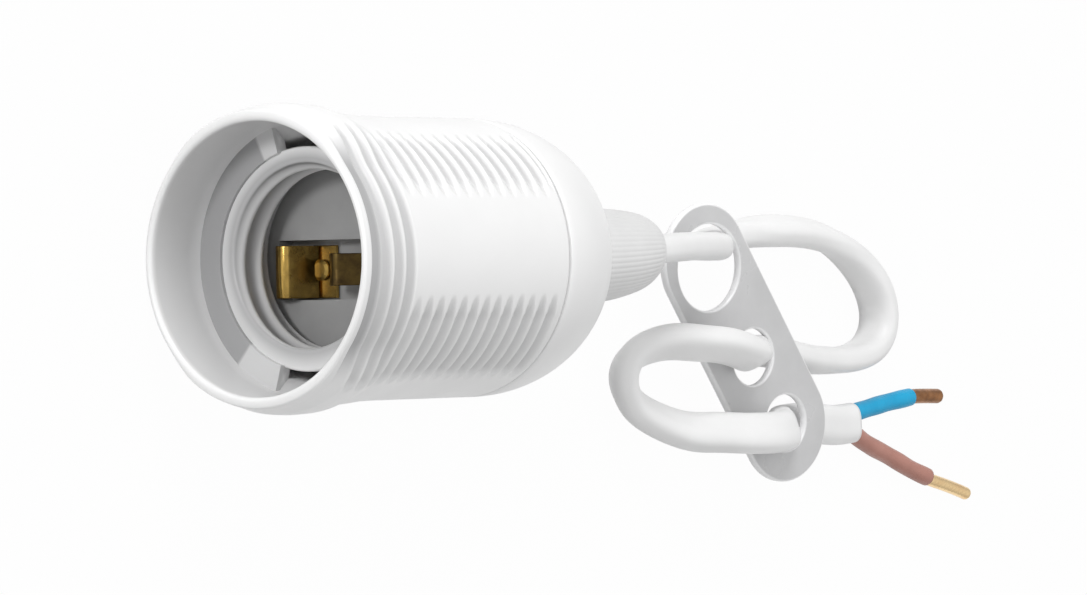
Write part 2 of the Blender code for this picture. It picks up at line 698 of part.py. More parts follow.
def make_inner_core(label, z, spread, core, wire, parent):
    """A core from the stripped sheath to its terminal, and its bare end in the wire hole."""
    start = INNER_CORD_FRONT - 2 * JOINT_GAP
    end = BLOCK_REAR + JOINT_GAP
    run = start - end
    points = [
        (start, 0.0, spread),
        (start - 0.08 * run, 0.0, 1.02 * spread),
        (start - 0.55 * run, 0.7 * BASE_KEY_Y, 0.7 * z),
        (start - 0.85 * run, BASE_KEY_Y, z),
        (end, BASE_KEY_Y, z),
    ]
    line = smooth_line(points, CORE_POINTS)
    tube(f"inner_{label}_core", line, INNER_CORE_RADIUS, core, parent)
    wire_start = BLOCK_REAR
    bare = [(wire_start - INNER_WIRE_LENGTH * i / 2, BASE_KEY_Y, z) for i in range(3)]
    tube(f"inner_{label}_wire", bare, INNER_WIRE_RADIUS, wire, parent)


def in_metres(points):
    return [[value * MM for value in point] for point in points]


def make_hanger_strap(material, parent):
    """Flat moulded strap with round ends, a hanging eye and two holes for the cord."""
    straight = (STRAP_LENGTH - STRAP_WIDTH) / 2
    radius = STRAP_WIDTH / 2
    bm = bmesh.new()
    corners = []
    for side in (1, -1):
        for i in range(ARC_STEPS * 2 + 1):
            turn = math.pi * (i / (ARC_STEPS * 2) - 0.5)
            x = side * (straight + radius * math.cos(turn))
            y = side * radius * math.sin(turn)
            corners.append(bm.verts.new((x, y, -STRAP_THICKNESS)))
    face = bm.faces.new(corners)
    grown = bmesh.ops.extrude_face_region(bm, geom=[face])
    moved = [v for v in grown["geom"] if isinstance(v, bmesh.types.BMVert)]
    bmesh.ops.translate(bm, vec=(0, 0, STRAP_THICKNESS), verts=moved)
    strap = finish_mesh("hanger_strap", bm, material, parent)
    strap.location = STRAP_MIDDLE
    strap.rotation_euler = (STRAP_TILT, -STRAP_PITCH, STRAP_YAW)
    holes = (
        ("hanging_eye_cutter", EYE_FROM_MIDDLE, EYE_RADIUS),
        ("first_cord_hole_cutter", FIRST_HOLE_FROM_MIDDLE, CORD_HOLE_RADIUS),
        ("second_cord_hole_cutter", SECOND_HOLE_FROM_MIDDLE, CORD_HOLE_RADIUS),
    )
    for name, x, hole_radius in holes:
        hole = rod(
            name, (x, 0, -2 * STRAP_THICKNESS), (x, 0, STRAP_THICKNESS),
            hole_radius, None, strap, SMALL_FACETS * 2,
        )
        combine(strap, make_cutter(hole), "DIFFERENCE")
    edge = strap.modifiers.new("soft_edges", "BEVEL")
    edge.width = STRAP_EDGE
    edge.segments = 1
    edge.limit_method = "ANGLE"
    return strap


def build():
    clear_scene()
    white = make_material("white_thermoplastic", (0.86, 0.87, 0.88), 0.38)
    base_white = make_material("insulating_white", (0.74, 0.74, 0.72), 0.5)
    grip_white = make_material("soft_grip_white", (0.72, 0.72, 0.72), 0.55)
    strap_grey = make_material("strap_grey", (0.62, 0.64, 0.66), 0.4)
    sheath = make_material("white_sheath", (0.84, 0.85, 0.86), 0.42)
    blue = make_material("blue_insulation", (0.012, 0.38, 0.70), 0.4)
    brown = make_material("brown_insulation", (0.50, 0.24, 0.18), 0.45)
    brass = make_material("brass", (0.72, 0.50, 0.20), 0.28, 1.0)
    steel = make_material("zinc_steel", (0.62, 0.62, 0.60), 0.35, 1.0)
    copper = make_material("copper", (0.78, 0.42, 0.22), 0.3, 1.0)

    holder = add_empty("holder_axis", (-HOLDER_LENGTH / 2, 0, BARREL_RADIUS))
    cord_start = add_empty("cord_start", (HOLDER_LENGTH / 2, 0, 0))

    make_threaded_shell(white, holder)
    make_dome_cap(white, holder)
    make_contact_base(base_white, holder)
    make_side_contact(brass, holder)
    make_centre_contact(brass, holder)
    for label, z, outward in (("side", SIDE_RIVET_Z, -1), ("centre", CENTRE_RIVET_Z, 1)):
        make_rivet(label, z, brass, holder)
        make_terminal(label, z, outward, brass, holder)
        make_terminal_screw(label, z, outward, steel, holder)
    make_cord_grip(grip_white, holder)
    make_cord_collet(base_white, holder)
    make_inner_cord(sheath, holder)
    make_inner_core("blue", SIDE_RIVET_Z, -CORE_SPREAD, blue, copper, holder)
    make_inner_core("brown", CENTRE_RIVET_Z, CORE_SPREAD, brown, copper, holder)

    route = smooth_line(in_metres(CORD_ROUTE_MM), CORD_POINTS)
    tube("cord", route, CORD_RADIUS, sheath, cord_start)
    ends = (
        ("blue_core", BLUE_CORE_MM, CORE_RADIUS, blue),
        ("blue_wire", BLUE_WIRE_MM, BLUE_WIRE_RADIUS, copper),
        ("brown_core", BROWN_CORE_MM, CORE_RADIUS, brown),
        ("brown_wire", BROWN_WIRE_MM, BROWN_WIRE_RADIUS, copper),
    )
    for name, points, radius, material in ends:
        tube(name, smooth_line(in_metres(points), CORE_POINTS), radius, material, cord_start)
    make_hanger_strap(strap_grey, cord_start)


build()
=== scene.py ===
"""Looks for the pendant lamp holder with its cord and hanger strap.

The holder's axis runs along +X. In the formulas below, `depth` is the distance behind the
mouth, `radius` is measured from the axis, and `turn` is the angle from straight up towards +Y.
"""

import math

import bmesh
import bpy
import numpy as np
from mathutils import Euler, Matrix, Vector


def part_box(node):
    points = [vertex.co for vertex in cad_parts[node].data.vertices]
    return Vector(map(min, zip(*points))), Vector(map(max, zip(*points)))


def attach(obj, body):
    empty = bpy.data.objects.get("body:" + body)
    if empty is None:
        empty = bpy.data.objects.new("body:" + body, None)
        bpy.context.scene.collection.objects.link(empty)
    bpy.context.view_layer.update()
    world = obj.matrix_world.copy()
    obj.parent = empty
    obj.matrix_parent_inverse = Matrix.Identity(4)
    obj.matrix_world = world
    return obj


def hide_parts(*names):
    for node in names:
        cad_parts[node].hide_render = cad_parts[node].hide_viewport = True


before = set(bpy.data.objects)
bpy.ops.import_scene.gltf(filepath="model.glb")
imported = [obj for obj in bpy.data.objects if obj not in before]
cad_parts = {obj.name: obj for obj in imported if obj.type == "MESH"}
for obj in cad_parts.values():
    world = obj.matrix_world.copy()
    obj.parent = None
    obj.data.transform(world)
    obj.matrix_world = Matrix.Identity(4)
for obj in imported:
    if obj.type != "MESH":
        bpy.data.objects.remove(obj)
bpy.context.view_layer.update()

MM = 0.001
SHELL_LOW, SHELL_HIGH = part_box("threaded_shell")
MOUTH_X = SHELL_LOW.x
AXIS_Z = (SHELL_LOW.z + SHELL_HIGH.z) / 2
TIP_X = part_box("cord_grip")[1].x

# Camera: place, tilt below level, roll, and a lens for the 36 mm wide sensor
EYE = Vector((-0.66552, -0.00586, 0.56001))
LOOK_DOWN = math.radians(38.23)
ROLL = math.radians(-0.91)
LENS_MM = 199.2

# Strength of the room's light level with the floor and overhead
HORIZON_LIGHT = 0.2
ZENITH_LIGHT = 1.1

# Barrel, in millimetres
BARREL = 19.9
SHELL_LENGTH = 45.1
LIP_ROUND = 0.42
INNER_LIP_ROUND = 0.62
RIM_BEAD_LENGTH = 1.5
RIM_BEAD_RISE = 0.1
RIM_VALLEY_END = 3.8
RIM_VALLEY_DEPTH = 0.65
MOUTH_BORE = 18.95
BARREL_BORE = 18.2
SEAT_DEPTH = 19.8
SEAT_BORE = 17.2

# Outer thread, in millimetres. Its first runs are cut only to a share of the full depth, and
# near the rim no groove or valley is deeper than MOST_FRONT_RELIEF.
THREAD_PITCH = 2.5
THREAD_DEPTH = 1.15
THREAD_SHARPNESS = 2.1
THREAD_START = 6.2
THREAD_END = 44.4
FRONT_THREAD_SHARE = 0.6
FRONT_THREAD_END = 13.0
FULL_THREAD_START = 15.0
FRONT_RELIEF_END = 6.0
MOST_FRONT_RELIEF = 0.8

# Smooth bands that interrupt the thread, in degrees either side of each band's middle: the
# groove begins at the apex and is full from the edge. The top and bottom bands start at a depth.
TOP_BAND_TURN = 4.3
TOP_BAND_START = 11.4
TOP_BAND_APEX = 20.5
TOP_BAND_EDGE = 30.0
SIDE_BAND_APEX = 31.0
SIDE_BAND_EDGE = 36.0

# Flared sides: full up to one angle from each side, gone at the other, and the rise over the
# crest at depths behind the mouth
FLARE_FULL = 33.0
FLARE_GONE = 53.0
FLARE_PROFILE = (
    (0.0, 0.35), (2.0, 0.9), (4.3, 1.5), (6.5, 1.6), (9.0, 1.5),
    (12.0, 0.6), (16.0, 0.4), (20.0, 0.07), (24.0, 0.0),
)
FLARE_END = FLARE_PROFILE[-1][0]

# How far each recess turns to the painted shade colour, from 0 to 1: shade painted into the
# grooves, the rim's valley, the front of the thread, the bore, the webs and the lamp tube
GROOVE_SHADE = 0.42
FRONT_SHADE = 0.16
VALLEY_SHADE = 0.9
BORE_SHADE = 0.28
WEB_PAD_SHADE = 0.38
WEB_FLOOR_SHADE = 1.0
RING_SHADE = 0.75
TUBE_BORE_SHADE = 1.0
TUBE_RIDGE_CLEARING = 0.9

# Lamp tube and its webs, in millimetres
WEB_FRONT = 10.44
WEB_REAR = 12.4
WEB_PAD_RISE = 0.18
WEB_ROUND = 0.12
WEB_INTO_TUBE = 0.3
WEB_INTO_BARREL = 0.1
# Turns of each web from its middle: first end, first pad's edge, last pad's edge, last end
UPPER_WEB_TURNS = (-74.0, -51.0, 51.0, 74.0)
LOWER_WEB_TURNS = (-74.0, -65.0, 51.0, 74.0)
WEB_PAD_SLOPE = 1.2
TUBE_FRONT = 10.95
TUBE_REAR = 18.4
TUBE_RADIUS = 15.6
TUBE_BORE = 13.3
LAMP_PITCH = 3.63
LAMP_THREAD_DEPTH = 0.85
LAMP_THREAD_START = 10.5
LAMP_THREAD_SHARPNESS = 1.3

# Contacts, in millimetres; the paths are (depth, height above the axis)
FOOT_DEPTH = 22.45
SPRING_THICKNESS = 0.5
SPRING_ROUND = 0.14
SIDE_WIDTH = 7.4
SIDE_MIDDLE_Y = -1.75
SIDE_LEG_HEIGHT = -11.6
SIDE_FOOT_END = -4.0
SIDE_BEND_DEPTH = 18.95
SIDE_BEND_RADIUS = 1.3
SIDE_BEND_TURN = math.radians(150)
SIDE_PLATE = 4.2
CENTRE_WIDTH = 4.5
CENTRE_MIDDLE_Y = -1.5
CENTRE_CROWN = 0.12
CENTRE_PATH = (
    (FOOT_DEPTH, 11.5), (FOOT_DEPTH, 5.5), (FOOT_DEPTH - 5.0, -0.6), (FOOT_DEPTH - 3.2, -2.4),
)

# Cap and grip, in millimetres; the profiles are (depth, radius)
CAP_START = 45.27
CAP_BORE = 5.9
CAP_WALL = 1.8
SLEEVE_START = 27.3
SLEEVE_RADIUS = BARREL_BORE - 0.3
DOME_START = 46.5
DOME_LENGTH = 18.0
DOME_END_RADIUS = 7.5
GRIP_START = 64.8
GRIP_TIP = 87.7
GRIP_BORE = 2.5
GRIP_RIBS = 56
GRIP_RIB_HEIGHT = 0.055
GRIP_BEND = 0.8
GRIP_PROFILE = (
    (GRIP_START, 7.4), (68.0, 7.3), (72.0, 7.15), (78.7, 6.75), (82.4, 6.3), (84.6, 5.95),
    (86.2, 5.5), (87.3, 4.9),
)
# From the rounded tip back through the bore, round the flange inside the cap, to the shank
GRIP_TAIL = (
    (87.45, 4.75), (87.6, 4.5), (87.68, 4.2), (GRIP_TIP, 3.9), (GRIP_TIP, 2.9), (87.6, 2.65),
    (87.0, GRIP_BORE), (80.0, GRIP_BORE), (72.0, GRIP_BORE), (65.0, GRIP_BORE),
    (60.5, GRIP_BORE), (60.4, 2.7), (60.4, 7.1), (60.6, 7.3), (62.2, 7.3), (62.4, 7.1),
    (62.4, 5.8), (62.6, 5.6), (64.5, 5.6), (64.7, 5.6),
)

# Cord's length in metres, and the rest in millimetres. Routes start from the grip's tip.
CORD_WIDTH = 6.4
CORD_THICKNESS = 4.4
CORD_SQUARENESS = 0.76
CORD_WAIST = 0.03
CORD_WAIST_WIDTH = 1.1
REST_HEIGHT = 0.03
CORD_ROUTE = (
    (0.2, 0.8, 19.8), (4.8, 1.1, 19.6), (15.8, 1.5, 17.0), (22.3, 1.5, 14.9),
    (27.9, 1.5, 12.2), (32.6, 1.6, 8.1), (37.5, 2.1, 4.2), (43.3, 3.0, 3.3),
    (53.1, 4.0, 3.2), (65.4, 3.6, 3.2), (72.8, 1.8, 3.2), (78.8, -1.3, 3.2),
    (82.8, -5.0, 3.2), (84.5, -8.9, 3.2), (83.9, -12.3, 3.2), (81.2, -14.9, 3.2),
    (76.4, -16.3, 3.2), (70.3, -16.6, 3.2), (61.7, -16.1, 3.8), (54.7, -15.1, 4.1),
    (48.3, -14.7, 4.8), (42.9, -14.9, 8.3), (37.8, -15.1, 11.8), (31.1, -13.8, 12.7),
    (25.4, -13.2, 11.4), (20.7, -12.9, 9.6), (16.9, -13.7, 7.7), (14.7, -15.5, 6.1),
    (14.5, -18.3, 5.0), (16.0, -21.0, 4.6), (18.7, -23.4, 5.0), (25.5, -26.5, 8.2),
    (29.7, -26.9, 10.6), (35.4, -27.2, 12.5), (45.2, -27.2, 12.1), (50.6, -26.7, 8.7),
    (55.5, -26.5, 5.0), (62.8, -26.3, 4.2), (71.4, -26.9, 3.0), (77.2, -26.7, 2.5),
)
# How steeply the cord's wide side stands, in degrees, at lengths along it
CORD_TWIST = (
    (0, 90), (50, 90), (58, 64), (74, 66), (84, 90), (91, 103),
    (98, 100), (106, 90), (150, 62), (190, 36), (230, 0), (246, 0),
)
BLUE_CORE = (
    (77.4, -25.3, 2.5), (78.6, -25.1, 2.3), (83.0, -24.5, 1.9), (90.1, -23.6, 1.3),
    (95.3, -23.0, 1.2),
)
BLUE_WIRE = ((94.2, -23.1, 1.2), (95.4, -22.95, 1.15), (99.5, -22.9, 1.1), (103.5, -23.0, 1.1))
BROWN_CORE = (
    (77.4, -28.1, 2.5), (78.6, -28.6, 2.3), (81.5, -29.8, 1.9), (88.4, -32.1, 1.3),
    (94.5, -34.4, 1.2), (99.8, -36.1, 1.2),
)
BROWN_WIRE = ((98.6, -35.7, 1.2), (100.0, -36.25, 1.1), (105.9, -37.7, 1.0), (111.5, -39.2, 0.95))
CORE_RADIUS = 1.45
BLUE_WIRE_RADIUS = 1.2
BROWN_WIRE_RADIUS = 1.05
STRANDS = 9
STRAND_TURNS_PER_MM = 0.11
STRAND_RELIEF = 0.015

# Strap, in millimetres. Its holes are (place along it, radius), its middle is measured from the
# grip's tip, and its flat faces begin STRAP_MARGIN inside the rounding.
STRAP_LENGTH = 49.6
STRAP_WIDTH = 17.9
STRAP_THICKNESS = 1.4
STRAP_ROUND = 0.4
STRAP_MARGIN = 0.12
# Strength of the painted highlight on the strap's rounded edges
STRAP_EDGE_PAINTED_HIGHLIGHT = 1.3
STRAP_HOLES = ((-14.7, 6.7), (2.6, 4.4), (15.5, 4.4))
STRAP_MIDDLE = (40.9, -13.5, 8.9)
STRAP_YAW = math.radians(-53.6)
STRAP_TILT = math.radians(8.0)
STRAP_PITCH = math.radians(2.0)

# Height of the moulded grain and of the drawn lines, in metres, and the part of each noise
# that runs from one colour to the other
GRAIN_HEIGHT = 0.00005
LINE_HEIGHT = 0.00004
DRIFT_RANGE = (0.3, 0.7)
TARNISH_RANGE = (0.42, 0.72)

# Share of plain white seen by camera rays and by glossy rays, on the floor and in the room
FLOOR_SEEN = (0.975, 0.9)
ROOM_SEEN = (1.0, 0.4)

# Lamps: name, place, diameter in metres and power in watts. All of them face one point.
LIGHTS = (("key", (-0.25, 0.95, 0.6), 0.6, 6.2), ("front_fill", (-0.95, 0.25, 0.12), 0.2, 3.1))
LIGHT_TARGET = (0.02, -0.005, 0.012)


# ---- Mesh helpers

def mesh_from_grid(name, grid, capped=False):
    """A grid of points (rows, columns, 3) in millimetres becomes quads in metres.

    Every row is a closed ring, and the last row joins the first. When capped, the first and
    last rows shrink to the mean of their points instead, which triangles join to the next row.
    Faces turn outwards: if the signed volume, the sum of each quad's corner products, is
    negative, the order is reversed.
    """
    body = grid[1:-1] if capped else grid
    rows, columns = body.shape[:2]
    points = body.reshape(-1, 3)
    index = np.arange(rows * columns).reshape(rows, columns)
    near = index[:-1] if capped else index
    far = index[1:] if capped else np.roll(index, -1, axis=0)
    around = [near, np.roll(near, -1, axis=1), np.roll(far, -1, axis=1), far]
    quads = np.stack(around, axis=-1).reshape(-1, 4)
    triangles = np.zeros((0, 3), int)
    if capped:
        first, last = index[0], index[-1]
        start, end = (np.full(columns, len(points) + i) for i in range(2))
        points = np.concatenate([points, [grid[0].mean(axis=0), grid[-1].mean(axis=0)]])
        triangles = np.concatenate([
            np.stack([start, np.roll(first, -1), first], axis=-1),
            np.stack([end, last, np.roll(last, -1)], axis=-1),
        ])
    corner = points[quads]
    volume = np.einsum("ij,ij->i", corner[:, 0], np.cross(corner[:, 1], corner[:, 2])).sum()
    volume += np.einsum("ij,ij->i", corner[:, 0], np.cross(corner[:, 2], corner[:, 3])).sum()
    if volume < 0:
        quads = quads[:, ::-1]
        triangles = triangles[:, ::-1]
    mesh = bpy.data.meshes.new(name)
    faces = quads.tolist() + triangles.tolist()
    mesh.from_pydata((points * MM).tolist(), [], faces)
    mesh.update()
    mesh.shade_smooth()
    return mesh


def add_piece(name, mesh, material, nodes, sharp_degrees=None):
    """Links a finished mesh as a piece that rides on the object and stands for CAD nodes."""
    if sharp_degrees is not None:
        mesh.set_sharp_from_angle(angle=math.radians(sharp_degrees))
    mesh.materials.append(material)
    piece = bpy.data.objects.new(name, mesh)
    bpy.context.scene.collection.objects.link(piece)
    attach(piece, "root")
    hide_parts(*nodes)
    return piece


def add_painted_light_and_shade(mesh, values):
    """Stores how far each point of the mesh turns to its material's painted colour: painted shade
    in the holder's recesses, a painted highlight on the strap's edges.
    """
    layer = mesh.attributes.new("painted_light_and_shade", "FLOAT", "POINT")
    layer.data.foreach_set("value", np.asarray(values, np.float32))


def soft_step(values, low, high):
    """0 below low, 1 above high, and 3s^2 - 2s^3 between."""
    share = np.clip((values - low) / (high - low), 0.0, 1.0)
    return share * share * (3 - 2 * share)


def to_world(depth, radius, turn, sideways=0.0):
    """x = mouth + depth, y = radius sin(turn) + sideways, z = axis + radius cos(turn)."""
    x = MOUTH_X / MM + depth
    y = radius * np.sin(turn) + sideways
    z = AXIS_Z / MM + radius * np.cos(turn)
    return np.stack(np.broadcast_arrays(x, y, z), axis=-1)


def turns(count):
    """Even turns round a full circle, in radians."""
    return np.linspace(0.0, 2 * np.pi, count, endpoint=False)


def stack_rows(count, *parts):
    """Joins rows of a grid; in a plain list, each number is a row with one value all round."""
    full = [part if np.ndim(part) == 2 else np.reshape(part, (-1, 1)) for part in parts]
    return np.concatenate([np.broadcast_to(part, (len(part), count)) for part in full])


def rounded_profile(corners, radius, steps=4):
    """Each corner of a closed outline becomes an arc that meets both sides at a tangent."""
    corners = np.asarray(corners, float)
    before = np.roll(corners, 1, axis=0) - corners
    after = np.roll(corners, -1, axis=0) - corners
    before_length = np.linalg.norm(before, axis=1, keepdims=True)
    after_length = np.linalg.norm(after, axis=1, keepdims=True)
    reach = np.minimum(radius, 0.45 * np.minimum(before_length, after_length))
    start = corners + before / before_length * reach
    end = corners + after / after_length * reach
    share = np.linspace(0.0, 1.0, steps + 1)[None, :, None]
    arcs = (
        (1 - share) ** 2 * start[:, None]
        + 2 * share * (1 - share) * corners[:, None]
        + share**2 * end[:, None]
    )
    return arcs.reshape(-1, 2)


# ---- Threaded shell

def angle_from(turn_degrees, centre):
    """The smallest angle between a turn and a centre, in degrees."""
    return np.abs((turn_degrees - centre + 180.0) % 360.0 - 180.0)


def side_angle(turn_degrees):
    """The smallest angle to either side of the barrel, in degrees."""
    return np.minimum(angle_from(turn_degrees, 90.0), angle_from(turn_degrees, -90.0))


def flare_share(turn_degrees):
    """1 on the flared sides, 0 on the round top and bottom."""
    return 1.0 - soft_step(side_angle(turn_degrees), FLARE_FULL, FLARE_GONE)


def thread_share(depth, turn_degrees):
    """How deep the groove may be: 1 in the threaded zones, falling evenly to 0 at the bands."""
    side = (side_angle(turn_degrees) - SIDE_BAND_APEX) / (SIDE_BAND_EDGE - SIDE_BAND_APEX)
    upright = np.minimum(
        angle_from(turn_degrees, TOP_BAND_TURN), angle_from(turn_degrees, 180 + TOP_BAND_TURN)
    )
    top = (upright - TOP_BAND_APEX) / (TOP_BAND_EDGE - TOP_BAND_APEX)
    before_band = 1 - soft_step(depth, TOP_BAND_START - 0.4, TOP_BAND_START + 0.3)
    top = np.maximum(np.clip(top, 0.0, 1.0), before_band)
    return np.clip(np.minimum(side, top), 0.0, 1.0)


def barrel_radius(depth, turn_degrees):
    """Crest radius, plus the rim's bead and the flare, less the groove and the rim's valley.

    The groove follows a right-hand helix: its phase is (depth + pitch * turn / 360 - start) /
    pitch from a crest, its section is 1 - (0.5 + 0.5 cos phase) ^ sharpness, and it runs out
    into the bands by losing depth evenly, which narrows it to a point. The first runs are cut
    to a share of that. The groove's full cut and the valley are returned too, for the painted
    shade that darkens them.
    """
    phase = (depth + THREAD_PITCH * turn_degrees / 360.0 - THREAD_START) / THREAD_PITCH
    crest = (0.5 + 0.5 * np.cos(2 * np.pi * phase)) ** THREAD_SHARPNESS
    cut = THREAD_DEPTH * (1 - crest)
    share = thread_share(depth, turn_degrees)
    cut = np.maximum(0.0, cut - THREAD_DEPTH * (1 - share))
    cut = cut * soft_step(depth, RIM_VALLEY_END - 0.3, RIM_VALLEY_END + 0.3)
    cut = cut * (1 - soft_step(depth, THREAD_END - 0.4, THREAD_END))
    front_share = FRONT_THREAD_SHARE + (1 - FRONT_THREAD_SHARE) * soft_step(
        depth, FRONT_THREAD_END, FULL_THREAD_START
    )
    flare = flare_share(turn_degrees)
    valley = soft_step(depth, RIM_BEAD_LENGTH, RIM_BEAD_LENGTH + 0.35)
    valley = valley * (1 - soft_step(depth, RIM_VALLEY_END - 0.4, RIM_VALLEY_END + 0.9))
    valley = RIM_VALLEY_DEPTH * valley * (1 - flare)
    bead = RIM_BEAD_RISE * (1 - soft_step(depth, RIM_BEAD_LENGTH - 0.4, RIM_BEAD_LENGTH + 0.2))
    places, rises = np.array(FLARE_PROFILE).T
    swell = np.interp(depth, places, rises) * flare
    relief = cut * front_share + valley
    capped = np.minimum(relief, MOST_FRONT_RELIEF)
    relief = np.where(depth < FRONT_RELIEF_END, capped, relief)
    return BARREL + bead + swell - relief, cut, valley


def smooth_rows(profile, passes):
    """Repeated averaging of each row with its two neighbours."""
    for _ in range(passes):
        inner = 0.25 * profile[:-2] + 0.5 * profile[1:-1] + 0.25 * profile[2:]
        profile = np.concatenate([profile[:1], inner, profile[-1:]])
    return profile


def make_barrel(material):
    """Closed skin: up the outside through the threads, over the rear face, back down the bore."""
    count = 288
    turn = turns(count)
    degrees = np.degrees(turn)[None, :]
    outer_depth = np.concatenate([
        np.linspace(LIP_ROUND, FLARE_END, 118, endpoint=False),
        np.linspace(FLARE_END, SHELL_LENGTH - LIP_ROUND, 96),
    ])
    outer_radius, cut, valley = barrel_radius(outer_depth[:, None], degrees)
    lip_turn = np.linspace(0.0, np.pi / 2, 5)[-2::-1]
    lip_depth = LIP_ROUND * (1 - np.sin(lip_turn))
    lip_radius = outer_radius[:1] - LIP_ROUND + LIP_ROUND * np.cos(lip_turn)[:, None]
    rear_rows = [
        (SHELL_LENGTH - 0.06, BARREL - LIP_ROUND / 2), (SHELL_LENGTH, BARREL - LIP_ROUND),
        (SHELL_LENGTH, BARREL_BORE + 0.15), (SHELL_LENGTH - 0.15, BARREL_BORE),
    ]
    bore_rows = [
        (30.0, BARREL_BORE), (SEAT_DEPTH + 0.05, BARREL_BORE), (SEAT_DEPTH, SEAT_BORE + 0.05),
        (SEAT_DEPTH - 0.05, SEAT_BORE), (WEB_REAR, SEAT_BORE), (WEB_FRONT + 0.6, MOUTH_BORE),
        (8.0, MOUTH_BORE), (4.0, MOUTH_BORE), (1.2, MOUTH_BORE),
    ]
    tail_depth, tail_radius = np.array(rear_rows + bore_rows).T
    inner_turn = np.linspace(0.0, np.pi / 2, 7)
    inner_depth = INNER_LIP_ROUND * (1 - np.sin(inner_turn))
    inner_radius = MOUTH_BORE + INNER_LIP_ROUND * (1 - np.cos(inner_turn))
    depth = stack_rows(count, lip_depth, outer_depth, tail_depth, inner_depth)
    radius = stack_rows(count, lip_radius, outer_radius, tail_radius, inner_radius)
    grid = to_world(depth, radius, turn[None, :])
    mesh = mesh_from_grid("barrel", grid)
    # Painted shade: the grooves, the front of the thread and the rim's valley turn towards a dark
    # colour, and so does the bore behind the lip.
    painted_light_and_shade = np.zeros(grid.shape[:2])
    front_zone = soft_step(outer_depth, 2.0, RIM_VALLEY_END) * (
        1 - soft_step(outer_depth, TOP_BAND_START - 0.6, TOP_BAND_START)
    )
    shade = GROOVE_SHADE * cut / THREAD_DEPTH
    shade = shade + FRONT_SHADE * front_zone[:, None] * (1 - flare_share(degrees))
    first = len(lip_depth)
    painted_light_and_shade[first:first + len(outer_depth)] = np.maximum(
        shade, VALLEY_SHADE * valley / RIM_VALLEY_DEPTH
    )
    lip_rows = len(inner_turn)
    painted_light_and_shade[-lip_rows - len(bore_rows):-lip_rows] = BORE_SHADE
    add_painted_light_and_shade(mesh, painted_light_and_shade.ravel())
    return add_piece("barrel", mesh, material, ["threaded_shell"])


def make_web(name, middle_degrees, web_turns, material):
    """A rounded rectangle in (depth, radius), swept round the axis between the two slots.

    Its front face rises by the pad height from each pad's edge to that end, and the ends are
    closed by rows that shrink to the section's middle.
    """
    first_end, first_pad, last_pad, last_end = web_turns
    turn = np.concatenate([
        np.linspace(first_end, first_pad - 1, 12), np.linspace(first_pad, last_pad, 60),
        np.linspace(last_pad + 1, last_end, 12),
    ])
    inside = TUBE_RADIUS - WEB_INTO_TUBE
    outside = MOUTH_BORE + WEB_INTO_BARREL
    section = rounded_profile(
        [(WEB_FRONT, inside), (WEB_FRONT, outside), (WEB_REAR, outside), (WEB_REAR, inside)],
        WEB_ROUND,
    )
    centre = section.mean(axis=0)
    first_side = 1 - soft_step(turn, first_pad, first_pad + WEB_PAD_SLOPE)
    last_side = soft_step(turn, last_pad - WEB_PAD_SLOPE, last_pad)
    pad = WEB_PAD_RISE * (first_side + last_side)
    depth = np.repeat(section[None, :, 0], len(turn), axis=0)
    front = depth < (WEB_FRONT + WEB_REAR) / 2
    depth = depth - pad[:, None] * front
    radius = np.repeat(section[None, :, 1], len(turn), axis=0)
    shrink = np.array([0.0, 0.55, 0.96])[:, None, None]
    ends = [np.stack([depth[i], radius[i]], axis=-1) for i in (0, -1)]
    start = centre + (ends[0] - centre) * shrink
    finish = (centre + (ends[1] - centre) * shrink)[::-1]
    pairs = np.concatenate([start, np.stack([depth, radius], axis=-1), finish])
    all_turns = np.concatenate([np.full(3, turn[0]), turn, np.full(3, turn[-1])])
    angle = np.radians(all_turns + middle_degrees)[:, None]
    grid = to_world(pairs[..., 0], pairs[..., 1], angle)
    mesh = mesh_from_grid(name, grid, capped=True)
    # Painted shade: the front face between the pads turns fully towards the dark colour, the pads
    # less.
    floor_share = np.concatenate([np.zeros(2), 1 - first_side - last_side, np.zeros(2)])
    shade = WEB_PAD_SHADE + (WEB_FLOOR_SHADE - WEB_PAD_SHADE) * floor_share
    painted_light_and_shade = np.concatenate([np.repeat(shade, len(section)), [0.0, 0.0]])
    add_painted_light_and_shade(mesh, painted_light_and_shade)
    return add_piece(name, mesh, material, ["threaded_shell"], sharp_degrees=40)


